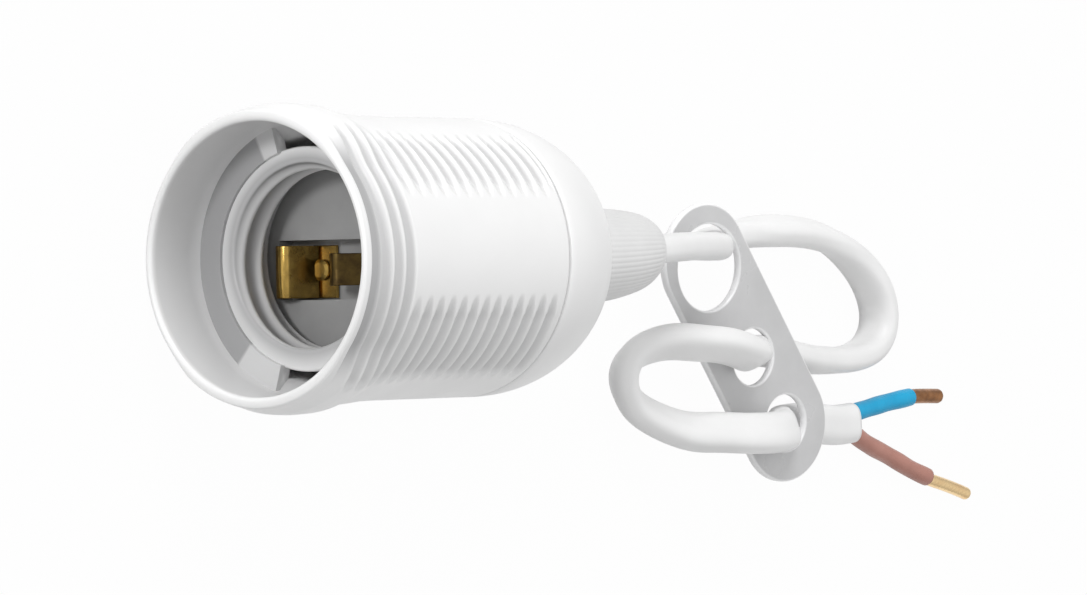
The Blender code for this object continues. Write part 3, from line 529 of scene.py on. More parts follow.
def make_lamp_tube(material):
    """Tube whose bore carries the lamp thread, from the bore round the front ring to the rear.

    The bore's radius is bore - height * (0.5 + 0.5 cos phase) ^ sharpness, where the phase
    follows a right-hand helix. Painted shade darkens the hollows between the ridges and the
    front ring, and the ridges keep most of their own colour.
    """
    count = 240
    turn = turns(count)[None, :]
    bore_depth = np.linspace(TUBE_FRONT + 0.35, TUBE_REAR - 0.2, 60)
    phase = (bore_depth[:, None] - LAMP_THREAD_START) / LAMP_PITCH + turn / (2 * np.pi)
    ridge = (0.5 + 0.5 * np.cos(2 * np.pi * phase)) ** LAMP_THREAD_SHARPNESS
    bore = TUBE_BORE - LAMP_THREAD_DEPTH * ridge
    ring_depth = TUBE_FRONT + np.array([0.12, 0.02, 0.0])
    ring_radius = bore[:1] + np.array([[0.12], [0.35], [0.7]])
    outer_depth, outer_radius = np.array([
        (TUBE_FRONT + 0.02, TUBE_RADIUS - 0.35), (TUBE_FRONT + 0.12, TUBE_RADIUS - 0.12),
        (TUBE_FRONT + 0.35, TUBE_RADIUS), (WEB_REAR, TUBE_RADIUS), (15.0, TUBE_RADIUS),
        (TUBE_REAR - 0.2, TUBE_RADIUS), (TUBE_REAR, TUBE_RADIUS - 0.2),
        (TUBE_REAR, TUBE_BORE + 0.2),
    ]).T
    depth = stack_rows(count, bore_depth[::-1], ring_depth, outer_depth)
    radius = stack_rows(count, bore[::-1], ring_radius, outer_radius)
    grid = to_world(depth, radius, turn)
    mesh = mesh_from_grid("lamp_tube", grid)
    painted_light_and_shade = np.zeros(grid.shape[:2])
    bore_rows = len(bore_depth)
    painted_light_and_shade[:bore_rows] = TUBE_BORE_SHADE * (1 - TUBE_RIDGE_CLEARING * ridge[::-1])
    painted_light_and_shade[bore_rows:bore_rows + len(ring_depth)] = RING_SHADE
    add_painted_light_and_shade(mesh, painted_light_and_shade.ravel())
    return add_piece("lamp_tube", mesh, material, ["threaded_shell"])


# ---- Cap and grip

def make_cap(material):
    """Sleeve and dome as one closed profile of (depth, radius), turned about the axis.

    The dome is a quarter ellipse outside and inside: depth = start + length sin a, and the
    radius falls with cos a.
    """
    a = np.linspace(0.0, np.pi / 2, 40)
    outside = np.stack([
        DOME_START + DOME_LENGTH * np.sin(a),
        DOME_END_RADIUS + (BARREL - DOME_END_RADIUS) * np.cos(a),
    ], axis=1)
    neck = CAP_BORE + 0.1
    inside = np.stack([
        DOME_START + (DOME_LENGTH - CAP_WALL) * np.sin(a),
        neck + (SLEEVE_RADIUS - CAP_WALL - neck) * np.cos(a),
    ], axis=1)
    dome_end = DOME_START + DOME_LENGTH
    profile = np.concatenate([
        [
            (SLEEVE_START, SLEEVE_RADIUS - 0.2), (SLEEVE_START + 0.2, SLEEVE_RADIUS),
            (CAP_START - 0.2, SLEEVE_RADIUS), (CAP_START, SLEEVE_RADIUS + 0.1),
            (CAP_START, BARREL - 0.3), (CAP_START + 0.06, BARREL - 0.1),
            (CAP_START + 0.25, BARREL),
        ],
        outside,
        [(dome_end, CAP_BORE + 0.2), (dome_end - 0.2, CAP_BORE)],
        inside[::-1],
        [(SLEEVE_START + 0.2, SLEEVE_RADIUS - CAP_WALL)],
    ])
    grid = to_world(profile[:, :1], profile[:, 1:], turns(224)[None, :])
    mesh = mesh_from_grid("cap", grid)
    return add_piece("cap", mesh, material, ["dome_cap"], sharp_degrees=50)


def make_grip(material):
    """Tapered sleeve with fine lengthwise ribs that fade at both ends, leaning to +Y.

    radius = profile + height * |cos(ribs * turn / 2)| - height / 2, and the lean grows with
    the square of the distance from the cap.
    """
    count = GRIP_RIBS * 8
    turn = turns(count)[None, :]
    places, sizes = np.array(GRIP_PROFILE).T
    outer_depth = np.linspace(GRIP_START, GRIP_TIP - 0.45, 44)
    size = smooth_rows(np.interp(outer_depth, places, sizes), 6)
    fade = soft_step(outer_depth, GRIP_START, 66.2) * (1 - soft_step(outer_depth, 86.2, 87.2))
    rib = np.abs(np.cos(GRIP_RIBS * turn / 2)) - 0.5
    outer = size[:, None] + GRIP_RIB_HEIGHT * rib * fade[:, None]
    tail_depth, tail_radius = np.array(GRIP_TAIL).T
    depth = stack_rows(count, outer_depth, tail_depth)
    radius = stack_rows(count, outer, tail_radius)
    share = np.clip((depth - GRIP_START) / (GRIP_TIP - GRIP_START), 0.0, 1.0)
    grid = to_world(depth, radius, turn, GRIP_BEND * share**2)
    mesh = mesh_from_grid("grip", grid)
    return add_piece("grip", mesh, material, ["cord_grip"], sharp_degrees=55)


# ---- Contacts

def strip_mesh(name, path, width, y_middle, crown=0.0):
    """Sheet metal along a path of (depth, height): a rounded rectangle carried along it.

    The section's wide side runs along Y. Its middle bulges by the crown, as pressed strip does,
    and a row shrunk almost to the middle closes each end flat.
    """
    path = np.asarray(path, float)
    ahead = np.gradient(path, axis=0)
    ahead /= np.linalg.norm(ahead, axis=1, keepdims=True)
    across = np.stack([-ahead[:, 1], ahead[:, 0]], axis=1)
    side = width / 2
    face = SPRING_THICKNESS / 2
    section = rounded_profile(
        [
            (-side, -face), (0, crown - face), (side, -face),
            (side, face), (0, crown + face), (-side, face),
        ],
        SPRING_ROUND,
    )
    wide = section[None, :, 0] + y_middle
    thick = section[None, :, 1]
    depth = path[:, :1] + across[:, :1] * thick
    height = path[:, 1:] + across[:, 1:] * thick
    y = np.repeat(wide, len(path), axis=0)
    grid = np.stack([MOUTH_X / MM + depth, y, AXIS_Z / MM + height], axis=-1)
    middle = grid.mean(axis=1, keepdims=True)
    shrunk = middle + (grid - middle) * 0.01
    grid = np.concatenate([shrunk[:1], grid, shrunk[-1:]])
    return mesh_from_grid(name, grid, capped=True)


def bend_path(corners, radius, steps=8):
    """Straight runs whose inner corners become curves that start and end `radius` away."""
    corners = np.asarray(corners, float)
    path = [corners[0]]
    for before, corner, after in zip(corners, corners[1:], corners[2:]):
        start = corner + (before - corner) / np.linalg.norm(before - corner) * radius
        end = corner + (after - corner) / np.linalg.norm(after - corner) * radius
        for s in np.linspace(0.0, 1.0, steps + 1):
            path.append((1 - s) ** 2 * start + 2 * s * (1 - s) * corner + s**2 * end)
    path.append(corners[-1])
    return np.array(path)


def make_side_spring(material):
    """Foot on the base, a leg forwards, a round front bend and a plate sloping back inwards."""
    corners = [
        (FOOT_DEPTH, SIDE_FOOT_END), (FOOT_DEPTH, SIDE_LEG_HEIGHT),
        (SIDE_BEND_DEPTH, SIDE_LEG_HEIGHT),
    ]
    leg = bend_path(corners, 1.0)
    a = np.linspace(0.0, SIDE_BEND_TURN, 25)[1:]
    loop = np.stack([
        SIDE_BEND_DEPTH - SIDE_BEND_RADIUS * np.sin(a),
        SIDE_LEG_HEIGHT + SIDE_BEND_RADIUS * (1 - np.cos(a)),
    ], axis=1)
    ahead = np.array([-math.cos(SIDE_BEND_TURN), math.sin(SIDE_BEND_TURN)])
    plate = loop[-1] + np.linspace(0.0, SIDE_PLATE, 8)[1:, None] * ahead
    path = np.concatenate([leg, loop, plate])
    mesh = strip_mesh("side_spring", path, SIDE_WIDTH, SIDE_MIDDLE_Y)
    return add_piece("side_spring", mesh, material, ["side_contact"], sharp_degrees=50)


def make_centre_spring(material):
    """Foot on the base, a slope to the axis, and a turned-down tip."""
    path = bend_path(CENTRE_PATH, 0.9)
    mesh = strip_mesh("centre_spring", path, CENTRE_WIDTH, CENTRE_MIDDLE_Y, CENTRE_CROWN)
    return add_piece("centre_spring", mesh, material, ["centre_contact"], sharp_degrees=50)


# ---- Cord, cores and wires

def smooth_route(points, count):
    """The cubic spline through the points, over the sum of the root distances between them.

    Second derivatives solve the usual three-term system with none at the two ends, and the
    line is then cut into equal lengths.
    """
    points = np.asarray(points, float)
    size = len(points)
    step = np.sqrt(np.linalg.norm(np.diff(points, axis=0), axis=1))
    knots = np.concatenate([[0.0], np.cumsum(step)])
    system = np.eye(size)
    right = np.zeros((size, 3))
    inner = np.arange(1, size - 1)
    system[inner, inner - 1] = step[:-1]
    system[inner, inner] = 2 * (step[:-1] + step[1:])
    system[inner, inner + 1] = step[1:]
    slope = np.diff(points, axis=0) / step[:, None]
    right[1:-1] = 6 * np.diff(slope, axis=0)
    bend = np.linalg.solve(system, right)
    fine = np.linspace(0.0, knots[-1], 60 * size)
    part = np.clip(np.searchsorted(knots, fine, side="right") - 1, 0, size - 2)
    before = (fine - knots[part])[:, None]
    after = (knots[part + 1] - fine)[:, None]
    width = step[part][:, None]
    line = (
        (bend[part] * after**3 + bend[part + 1] * before**3) / (6 * width)
        + (points[part] / width - bend[part] * width / 6) * after
        + (points[part + 1] / width - bend[part + 1] * width / 6) * before
    )
    along = np.concatenate([[0.0], np.cumsum(np.linalg.norm(np.diff(line, axis=0), axis=1))])
    even = np.linspace(0.0, along[-1], count)
    line = np.stack([np.interp(even, along, line[:, axis]) for axis in range(3)], axis=1)
    return line + np.array([TIP_X / MM, 0.0, 0.0]), even


def path_axes(line):
    """For each point: the way ahead, the level side way, and the way up square to both."""
    ahead = np.gradient(line, axis=0)
    ahead /= np.linalg.norm(ahead, axis=1, keepdims=True)
    side = np.cross(ahead, [0.0, 0.0, 1.0])
    side /= np.linalg.norm(side, axis=1, keepdims=True)
    return ahead, side, np.cross(side, ahead)


def close_ends(grid, ahead, rounding):
    """Adds rows that draw in to each end's middle, pushed out by a quarter-round."""
    shares = np.array([0.03, 0.5, 0.8, 0.95])
    outs = np.sqrt(1 - shares**2)
    first = grid[0].mean(axis=0)
    last = grid[-1].mean(axis=0)
    push = (outs * rounding)[:, None, None]
    start = first + (grid[0] - first) * shares[:, None, None] - ahead[0] * push
    finish = last + (grid[-1] - last) * shares[:, None, None] + ahead[-1] * push
    return np.concatenate([start, grid, finish[::-1]])


def rest_on_floor(grid):
    """Lifts each row of points just so far that its lowest one clears the floor."""
    lift = np.clip(REST_HEIGHT - grid[..., 2].min(axis=1), 0.0, None)
    grid[..., 2] += lift[:, None]
    return lift


def make_cord(material):
    """Flat cord: a rounded oval section carried along the route, its wide side turned as listed.

    Section: wide = half width * sign(cos t) |cos t| ^ squareness, thick likewise with sin t,
    less a shallow waist that falls off as exp(-(wide / waist width)^2).
    """
    line, along = smooth_route(CORD_ROUTE, 420)
    ahead, side, up = path_axes(line)
    lengths, angles = np.array(CORD_TWIST, float).T
    stand = smooth_rows(np.interp(along, lengths, angles), 20)
    stand = np.radians(stand)[:, None]
    wide_way = np.cos(stand) * side + np.sin(stand) * up
    thick_way = -np.sin(stand) * side + np.cos(stand) * up
    t = turns(56)
    wide = CORD_WIDTH / 2 * np.sign(np.cos(t)) * np.abs(np.cos(t)) ** CORD_SQUARENESS
    thick = CORD_THICKNESS / 2 * np.sign(np.sin(t)) * np.abs(np.sin(t)) ** CORD_SQUARENESS
    thick = thick * (1 - CORD_WAIST * np.exp(-(wide / CORD_WAIST_WIDTH) ** 2))
    grid = (
        line[:, None]
        + wide[None, :, None] * wide_way[:, None]
        + thick[None, :, None] * thick_way[:, None]
    )
    lift = rest_on_floor(grid)
    closed = close_ends(grid, ahead, 0.12)
    mesh = mesh_from_grid("flat_cord", closed, capped=True)
    cord = add_piece("flat_cord", mesh, material, ["cord"])
    centre = line.copy()
    centre[:, 2] += lift
    return cord, centre * MM


def make_core(name, points, radius, material, node):
    """Round insulation along a smooth line; its radius drifts by 2% and its ends are cut flat."""
    line, along = smooth_route(points, 60)
    ahead, side, up = path_axes(line)
    t = turns(32)[None, :, None]
    drift = 1 + 0.02 * np.sin(along * 0.9)[:, None, None]
    ring = np.cos(t) * side[:, None] + np.sin(t) * up[:, None]
    rings = line[:, None] + radius * drift * ring
    rest_on_floor(rings)
    grid = close_ends(rings, ahead, 0.1)
    mesh = mesh_from_grid(name, grid, capped=True)
    return add_piece(name, mesh, material, [node])


def make_stranded_wire(name, points, radius, material, node):
    """Twisted strands with a round tip.

    size = radius * (1 - relief + relief * |cos(strands * (t - twist) / 2)|), and the twist
    grows evenly along the wire.
    """
    line, along = smooth_route(points, 70)
    ahead, side, up = path_axes(line)
    t = turns(STRANDS * 10)[None, :]
    twist = 2 * np.pi * STRAND_TURNS_PER_MM * along[:, None]
    hills = np.abs(np.cos(STRANDS * (t - twist) / 2))
    size = radius * (1 - STRAND_RELIEF + STRAND_RELIEF * hills)
    ring = np.cos(t)[..., None] * side[:, None] + np.sin(t)[..., None] * up[:, None]
    rings = line[:, None] + size[..., None] * ring
    rest_on_floor(rings)
    grid = close_ends(rings, ahead, radius * 0.7)
    mesh = mesh_from_grid(name, grid, capped=True)
    return add_piece(name, mesh, material, [node])


# ---- Strap

def strap_ring(middle, half_length, radius, count):
    """A closed line round a stadium; with no half length it is a circle."""
    t = turns(count)
    x = middle + half_length * np.sign(np.cos(t)) + radius * np.cos(t)
    return np.stack([x, radius * np.sin(t)], axis=1)


def make_strap(material):
    """Stadium with three round holes, its edges rounded by a half circle of rings.

    At edge turn e from -90 to 90 degrees, a ring stands round * (1 - cos e) inside the outer
    line, or outside a hole's line, at the height round * sin e past the straight part. The
    edges' points carry a share of up to 1, which the strap's material turns into a painted
    highlight along the edge.
    """
    edge = np.radians(np.linspace(-90.0, 90.0, 9))
    flat = [STRAP_ROUND + STRAP_MARGIN]
    inset = np.concatenate([flat, STRAP_ROUND * (1 - np.cos(edge)), flat])
    rise = STRAP_ROUND * np.sin(edge) + np.sign(edge) * (STRAP_THICKNESS / 2 - STRAP_ROUND)
    rise = np.concatenate([[-STRAP_THICKNESS / 2], rise, [STRAP_THICKNESS / 2]])
    painted_edge_highlight = np.concatenate([[0.0], np.clip(STRAP_EDGE_PAINTED_HIGHLIGHT * np.cos(edge), 0.0, 1.0), [0.0]])
    glow = []
    straight = (STRAP_LENGTH - STRAP_WIDTH) / 2
    bm = bmesh.new()
    loops = [(0.0, straight, STRAP_WIDTH / 2, 1, 160)]
    loops += [(x, 0.0, radius, -1, 96) for x, radius in STRAP_HOLES]
    flats = ([], [])
    for middle, half_length, radius, way, count in loops:
        rings = []
        for shift, height in zip(inset, rise):
            line = strap_ring(middle, half_length, radius - way * shift, count)
            rings.append([bm.verts.new((x, y, height)) for x, y in line])
        glow.append(np.repeat(painted_edge_highlight, count))
        for near, far in zip(rings, rings[1:]):
            for i in range(count):
                j = (i + 1) % count
                bm.faces.new((near[i], near[j], far[j], far[i]))
        for edges, ring in zip(flats, (rings[0], rings[-1])):
            edges += [bm.edges.get((ring[i], ring[(i + 1) % count])) for i in range(count)]
    for edges in flats:
        bmesh.ops.triangle_fill(bm, use_beauty=True, use_dissolve=False, edges=edges)
    turn = Euler((STRAP_TILT, -STRAP_PITCH, STRAP_YAW)).to_matrix().to_4x4()
    drop = Matrix.Translation((0, 0, -STRAP_THICKNESS / 2))
    middle = Vector(STRAP_MIDDLE) + Vector((TIP_X / MM, 0, 0))
    place = Matrix.Scale(MM, 4) @ Matrix.Translation(middle) @ turn @ drop
    bmesh.ops.transform(bm, matrix=place, verts=bm.verts)
    bmesh.ops.recalc_face_normals(bm, faces=bm.faces)
    mesh = bpy.data.meshes.new("strap")
    bm.to_mesh(mesh)
    bm.free()
    # The edges' shares turn them towards the painted highlight colour of the strap's material.
    add_painted_light_and_shade(mesh, np.concatenate(glow))
    mesh.shade_smooth()
    return add_piece("strap", mesh, material, ["hanger_strap"])


# ---- Materials

def new_group(name, inputs, outputs):
    """A shader node group with named sockets: (name, kind, value) in, (name, kind) out."""
    tree = bpy.data.node_groups.new(name, "ShaderNodeTree")
    for label, kind, value in inputs:
        socket = tree.interface.new_socket(label, in_out="INPUT", socket_type=kind)
        socket.default_value = value
    for label, kind in outputs:
        tree.interface.new_socket(label, in_out="OUTPUT", socket_type=kind)
    return tree, tree.nodes.new("NodeGroupInput"), tree.nodes.new("NodeGroupOutput")


def add_noise(tree, vector, scale, detail, roughness=0.5):
    noise = tree.nodes.new("ShaderNodeTexNoise")
    noise.inputs["Detail"].default_value = detail
    noise.inputs["Roughness"].default_value = roughness
    tree.links.new(vector, noise.inputs["Vector"])
    if isinstance(scale, (int, float)):
        noise.inputs["Scale"].default_value = scale
    else:
        tree.links.new(scale, noise.inputs["Scale"])
    return noise.outputs["Fac"]


def make_moulded_grain():
    """Fine moulded grain as a height, and a slow drift for colour and gloss."""
    tree, entry, leave = new_group(
        "moulded_grain",
        [("Vector", "NodeSocketVector", (0, 0, 0)), ("Grain Scale", "NodeSocketFloat", 2600.0),
         ("Drift Scale", "NodeSocketFloat", 60.0)],
        [("Height", "NodeSocketFloat"), ("Drift", "NodeSocketFloat")],
    )
    grain = add_noise(tree, entry.outputs["Vector"], entry.outputs["Grain Scale"], 3.0)
    drift = add_noise(tree, entry.outputs["Vector"], entry.outputs["Drift Scale"], 4.0, 0.6)
    tree.links.new(grain, leave.inputs["Height"])
    tree.links.new(drift, leave.inputs["Drift"])
    return tree


def make_drawn_lines():
    """Fine lines drawn out along X, as rolled and pressed metal has, and a tarnish mask."""
    tree, entry, leave = new_group(
        "drawn_lines",
        [("Vector", "NodeSocketVector", (0, 0, 0)),
         ("Stretch", "NodeSocketVector", (60, 1800, 1800)),
         ("Tarnish Scale", "NodeSocketFloat", 500.0)],
        [("Height", "NodeSocketFloat"), ("Tarnish", "NodeSocketFloat")],
    )
    stretch = tree.nodes.new("ShaderNodeVectorMath")
    stretch.operation = "MULTIPLY"
    tree.links.new(entry.outputs["Vector"], stretch.inputs[0])
    tree.links.new(entry.outputs["Stretch"], stretch.inputs[1])
    lines = add_noise(tree, stretch.outputs["Vector"], 1.0, 3.0, 0.6)
    patch = add_noise(tree, entry.outputs["Vector"], entry.outputs["Tarnish Scale"], 4.0, 0.6)
    tarnish = map_range(tree, patch, 0.0, 1.0, *TARNISH_RANGE)
    tree.links.new(lines, leave.inputs["Height"])
    tree.links.new(tarnish, leave.inputs["Tarnish"])
    return tree


def new_material(name):
    material = bpy.data.materials.new(name)
    material.use_nodes = True
    tree = material.node_tree
    place = tree.nodes.new("ShaderNodeTexCoord")
    return material, tree, tree.nodes["Principled BSDF"], place.outputs["Object"]


def place_group(tree, group, vector, **values):
    node = tree.nodes.new("ShaderNodeGroup")
    node.node_tree = group
    tree.links.new(vector, node.inputs["Vector"])
    for label, value in values.items():
        node.inputs[label.replace("_", " ")].default_value = value
    return node


def mix_colours(tree, mask, first, second):
    """Turns the first colour, which may be another node's output, to the second by the mask."""
    mix = tree.nodes.new("ShaderNodeMix")
    mix.data_type = "RGBA"
    if isinstance(first, tuple):
        mix.inputs["A"].default_value = (*first, 1.0)
    else:
        tree.links.new(first, mix.inputs["A"])
    mix.inputs["B"].default_value = (*second, 1.0)
    tree.links.new(mask, mix.inputs["Factor"])
    return mix.outputs["Result"]


def map_range(tree, value, low, high, from_low=0.0, from_high=1.0):
    node = tree.nodes.new("ShaderNodeMapRange")
    node.inputs["From Min"].default_value = from_low
    node.inputs["From Max"].default_value = from_high
    node.inputs["To Min"].default_value = low
    node.inputs["To Max"].default_value = high
    tree.links.new(value, node.inputs["Value"])
    return node.outputs["Result"]


def add_bump(tree, shader, height, strength, distance):
    bump = tree.nodes.new("ShaderNodeBump")
    bump.inputs["Strength"].default_value = strength
    bump.inputs["Distance"].default_value = distance
    tree.links.new(height, bump.inputs["Height"])
    tree.links.new(bump.outputs["Normal"], shader.inputs["Normal"])


def moulded_plastic(name, grain_group, light, dark, rough, grain=2600.0, drift=60.0,
                    bump=0.12, specular=0.5, painted_light_and_shade=None):
    """Satin plastic: colour and gloss drift slowly, and a fine grain roughens the surface.

    With a painted light and shade colour, the mesh's own values say how far the surface turns
    to it: painted shade in the barrel's grooves and recesses, and a painted highlight along the
    strap's edges.
    """
    material, tree, shader, vector = new_material(name)
    group = place_group(tree, grain_group, vector, Grain_Scale=grain, Drift_Scale=drift)
    drift_mask = map_range(tree, group.outputs["Drift"], 0.0, 1.0, *DRIFT_RANGE)
    colour = mix_colours(tree, drift_mask, light, dark)
    if painted_light_and_shade:
        values = tree.nodes.new("ShaderNodeAttribute")
        values.attribute_name = "painted_light_and_shade"
        colour = mix_colours(tree, values.outputs["Fac"], colour, painted_light_and_shade)
    tree.links.new(colour, shader.inputs["Base Color"])
    tree.links.new(map_range(tree, group.outputs["Drift"], *rough, *DRIFT_RANGE),
                   shader.inputs["Roughness"])
    add_bump(tree, shader, group.outputs["Height"], bump, GRAIN_HEIGHT)
    shader.inputs["Specular IOR Level"].default_value = specular
    return material


def pressed_metal(name, line_group, light, dark, rough, stretch=(60.0, 1800.0, 1800.0),
                  tarnish=500.0, bump=0.15):
    """Metal with drawn lines, a duller tarnish in patches, and gloss that follows both."""
    material, tree, shader, vector = new_material(name)
    group = place_group(tree, line_group, vector, Stretch=stretch, Tarnish_Scale=tarnish)
    tree.links.new(mix_colours(tree, group.outputs["Tarnish"], light, dark),
                   shader.inputs["Base Color"])
    tree.links.new(map_range(tree, group.outputs["Tarnish"], *rough),
                   shader.inputs["Roughness"])
    add_bump(tree, shader, group.outputs["Height"], bump, LINE_HEIGHT)
    shader.inputs["Metallic"].default_value = 1.0
    return material


def seen_share(tree, straight, mirrored):
    """Share of white shown: one value to camera and clear rays, another to glossy rays."""
    path = tree.nodes.new("ShaderNodeLightPath")
    direct = tree.nodes.new("ShaderNodeMath")
    direct.operation = "MAXIMUM"
    tree.links.new(path.outputs["Is Camera Ray"], direct.inputs[0])
    tree.links.new(path.outputs["Is Transmission Ray"], direct.inputs[1])
    glossy = map_range(tree, path.outputs["Is Glossy Ray"], 0.0, mirrored)
    share = tree.nodes.new("ShaderNodeMath")
    share.operation = "MAXIMUM"
    tree.links.new(map_range(tree, direct.outputs["Value"], 0.0, straight), share.inputs[0])
    tree.links.new(glossy, share.inputs[1])
    return share.outputs["Value"]


def make_floor_material():
    """Pale floor that shows near white to the camera and keeps the object's soft shadow."""
    material, tree, shader, _ = new_material("pale_floor")
    shader.inputs["Base Color"].default_value = (0.62, 0.62, 0.62, 1.0)
    shader.inputs["Roughness"].default_value = 0.9
    shader.inputs["Specular IOR Level"].default_value = 0.0
    glow = tree.nodes.new("ShaderNodeEmission")
    glow.inputs["Color"].default_value = (1.0, 1.0, 1.0, 1.0)
    glow.inputs["Strength"].default_value = 1.0
    mix = tree.nodes.new("ShaderNodeMixShader")
    tree.links.new(seen_share(tree, *FLOOR_SEEN), mix.inputs["Fac"])
    tree.links.new(shader.outputs["BSDF"], mix.inputs[1])
    tree.links.new(glow.outputs["Emission"], mix.inputs[2])
    tree.links.new(mix.outputs["Shader"], tree.nodes["Material Output"].inputs["Surface"])
    return material


# ---- Stage, light and camera

def make_floor():
    """A level square, just under the object's lowest point."""
    mesh = bpy.data.meshes.new("floor")
    half = 3.0
    level = -0.00005
    mesh.from_pydata(
        [(-half, -half, level), (half, -half, level), (half, half, level), (-half, half, level)],
        [], [(0, 1, 2, 3)],
    )
    mesh.materials.append(make_floor_material())
    floor = bpy.data.objects.new("floor", mesh)
    bpy.context.scene.collection.objects.link(floor)


def make_world():
    """Pale room, brighter overhead, which is plain white where the camera or clear rays see it."""
    world = bpy.data.worlds.new("pale_room")
    world.use_nodes = True
    tree = world.node_tree
    place = tree.nodes.new("ShaderNodeTexCoord")
    parts = tree.nodes.new("ShaderNodeSeparateXYZ")
    tree.links.new(place.outputs["Generated"], parts.inputs["Vector"])
    back = tree.nodes["Background"]
    back.inputs["Color"].default_value = (1.0, 1.0, 1.0, 1.0)
    tree.links.new(map_range(tree, parts.outputs["Z"], HORIZON_LIGHT, ZENITH_LIGHT),
                   back.inputs["Strength"])
    white = tree.nodes.new("ShaderNodeBackground")
    white.inputs["Strength"].default_value = 1.0
    mix = tree.nodes.new("ShaderNodeMixShader")
    tree.links.new(seen_share(tree, *ROOM_SEEN), mix.inputs["Fac"])
    tree.links.new(back.outputs["Background"], mix.inputs[1])
    tree.links.new(white.outputs["Background"], mix.inputs[2])
    tree.links.new(mix.outputs["Shader"], tree.nodes["World Output"].inputs["Surface"])
    bpy.context.scene.world = world


def add_area_light(name, place, size, power):
    lamp = bpy.data.lights.new(name, "AREA")
    lamp.shape = "DISK"
    lamp.size = size
    lamp.energy = power
    holder = bpy.data.objects.new(name, lamp)
    holder.location = place
    aim = Vector(LIGHT_TARGET) - Vector(place)
    holder.rotation_euler = aim.to_track_quat("-Z", "Y").to_euler()
    bpy.context.scene.collection.objects.link(holder)


def make_camera():
    """The camera's axes: right and up lie in the picture, and back points from the object."""
    back = Vector((-math.cos(LOOK_DOWN), 0.0, math.sin(LOOK_DOWN)))
    level_right = Vector((math.sin(LOOK_DOWN), 0.0, math.cos(LOOK_DOWN)))
    level_up = Vector((0.0, 1.0, 0.0))
    right = math.cos(ROLL) * level_right + math.sin(ROLL) * level_up
    up = -math.sin(ROLL) * level_right + math.cos(ROLL) * level_up
    data = bpy.data.cameras.new("camera")
    data.lens = LENS_MM
    data.sensor_width = 36.0
    data.clip_start = 0.01
    camera = bpy.data.objects.new("camera", data)
    turn = Matrix((right, up, back)).transposed().to_4x4()
    camera.matrix_world = Matrix.Translation(EYE) @ turn
    bpy.context.scene.collection.objects.link(camera)
    bpy.context.scene.camera = camera


def finish_cad_nodes(materials):
    """Gives each CAD node that stays in view or inside its finished material."""
    for name, material in materials.items():
        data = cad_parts[name].data
        data.materials.clear()
        data.materials.append(material)


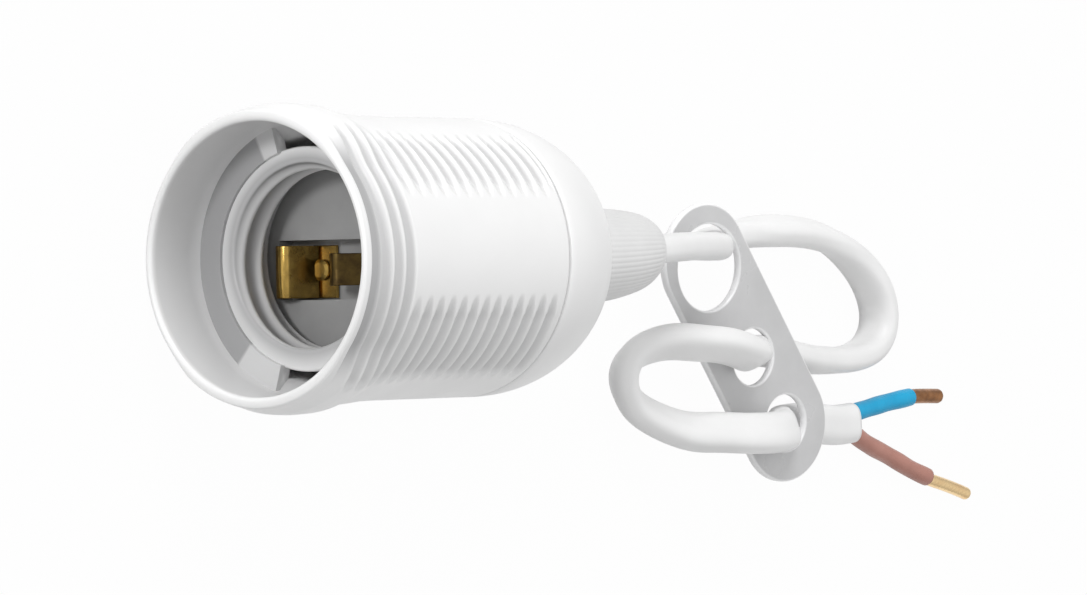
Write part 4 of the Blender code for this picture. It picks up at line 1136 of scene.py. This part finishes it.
def build():
    grain = make_moulded_grain()
    lines = make_drawn_lines()
    # The white moulding's dark second colour is painted shade for the holder's recesses.
    white = moulded_plastic("white_moulding", grain, (0.83, 0.83, 0.83), (0.80, 0.80, 0.80),
                            (0.30, 0.42), painted_light_and_shade=(0.36, 0.36, 0.365))
    # A grey well below the white moulding, which paints the shade that falls on the contact base
    # deep inside the holder.
    shaded_base_white = moulded_plastic("shaded_contact_base_moulding", grain, (0.35, 0.35, 0.35),
                                 (0.31, 0.31, 0.31), (0.45, 0.6), drift=140.0)
    grip_white = moulded_plastic("soft_grip", grain, (0.73, 0.73, 0.73), (0.69, 0.69, 0.69),
                                 (0.5, 0.62), grain=3400.0, drift=120.0)
    sheath = moulded_plastic("cord_sheath", grain, (0.84, 0.84, 0.84), (0.80, 0.80, 0.80),
                             (0.34, 0.46), grain=1500.0, drift=110.0)
    # The strap's pale second colour is a painted highlight for its edges.
    milky = moulded_plastic("milky_strap", grain, (0.57, 0.57, 0.575), (0.50, 0.50, 0.505),
                            (0.24, 0.36), grain=1800.0, drift=90.0, bump=0.1,
                            painted_light_and_shade=(0.92, 0.92, 0.925))
    blue = moulded_plastic("blue_insulation", grain, (0.008, 0.38, 0.66), (0.006, 0.34, 0.61),
                           (0.4, 0.5), grain=1800.0, drift=260.0, bump=0.2, specular=0.3)
    brown = moulded_plastic("brown_insulation", grain, (0.46, 0.215, 0.17), (0.40, 0.18, 0.14),
                            (0.36, 0.5), grain=1800.0, drift=260.0, bump=0.2)
    brass = pressed_metal("pressed_brass", lines, (0.50, 0.33, 0.09), (0.27, 0.17, 0.045),
                          (0.16, 0.34))
    # A darker copy of the brass, which paints the shade that falls on the centre spring deep
    # inside the holder.
    shaded_brass = pressed_metal("shaded_brass", lines, (0.09, 0.06, 0.02), (0.04, 0.025, 0.012),
                               (0.3, 0.5))
    steel = pressed_metal("plated_steel", lines, (0.62, 0.62, 0.60), (0.42, 0.42, 0.40),
                          (0.25, 0.45))
    along_wire = (200.0, 1600.0, 1600.0)
    bright_copper = pressed_metal("bright_copper", lines, (0.95, 0.70, 0.38), (0.88, 0.60, 0.31),
                                  (0.26, 0.34), stretch=along_wire, tarnish=400.0, bump=0.02)
    dark_copper = pressed_metal("dark_copper", lines, (0.42, 0.20, 0.09), (0.20, 0.09, 0.04),
                                (0.3, 0.42), stretch=along_wire, tarnish=400.0, bump=0.06)

    make_barrel(white)
    make_web("upper_web", 0.0, UPPER_WEB_TURNS, white)
    make_web("lower_web", 180.0, LOWER_WEB_TURNS, white)
    make_lamp_tube(white)
    make_cap(white)
    make_grip(grip_white)
    make_side_spring(brass)
    make_centre_spring(shaded_brass)

    cord, centre_line = make_cord(sheath)
    on_cord = [
        make_core("blue_sleeve", BLUE_CORE, CORE_RADIUS, blue, "blue_core"),
        make_core("brown_sleeve", BROWN_CORE, CORE_RADIUS, brown, "brown_core"),
        make_stranded_wire("blue_strands", BLUE_WIRE, BLUE_WIRE_RADIUS, dark_copper, "blue_wire"),
        make_stranded_wire("brown_strands", BROWN_WIRE, BROWN_WIRE_RADIUS, bright_copper,
                           "brown_wire"),
        make_strap(milky),
    ]

    finish_cad_nodes({
        "contact_base": shaded_base_white,
        "cord_collet": shaded_base_white,
        "side_rivet": brass,
        "centre_rivet": brass,
        "side_terminal": brass,
        "centre_terminal": brass,
        "side_terminal_screw": steel,
        "centre_terminal_screw": steel,
        "inner_cord": sheath,
        "inner_blue_core": blue,
        "inner_brown_core": brown,
        "inner_blue_wire": bright_copper,
        "inner_brown_wire": bright_copper,
    })

    make_floor()
    make_world()
    for light in LIGHTS:
        add_area_light(*light)
    make_camera()
    bpy.context.scene.view_settings.view_transform = "Standard"


build()
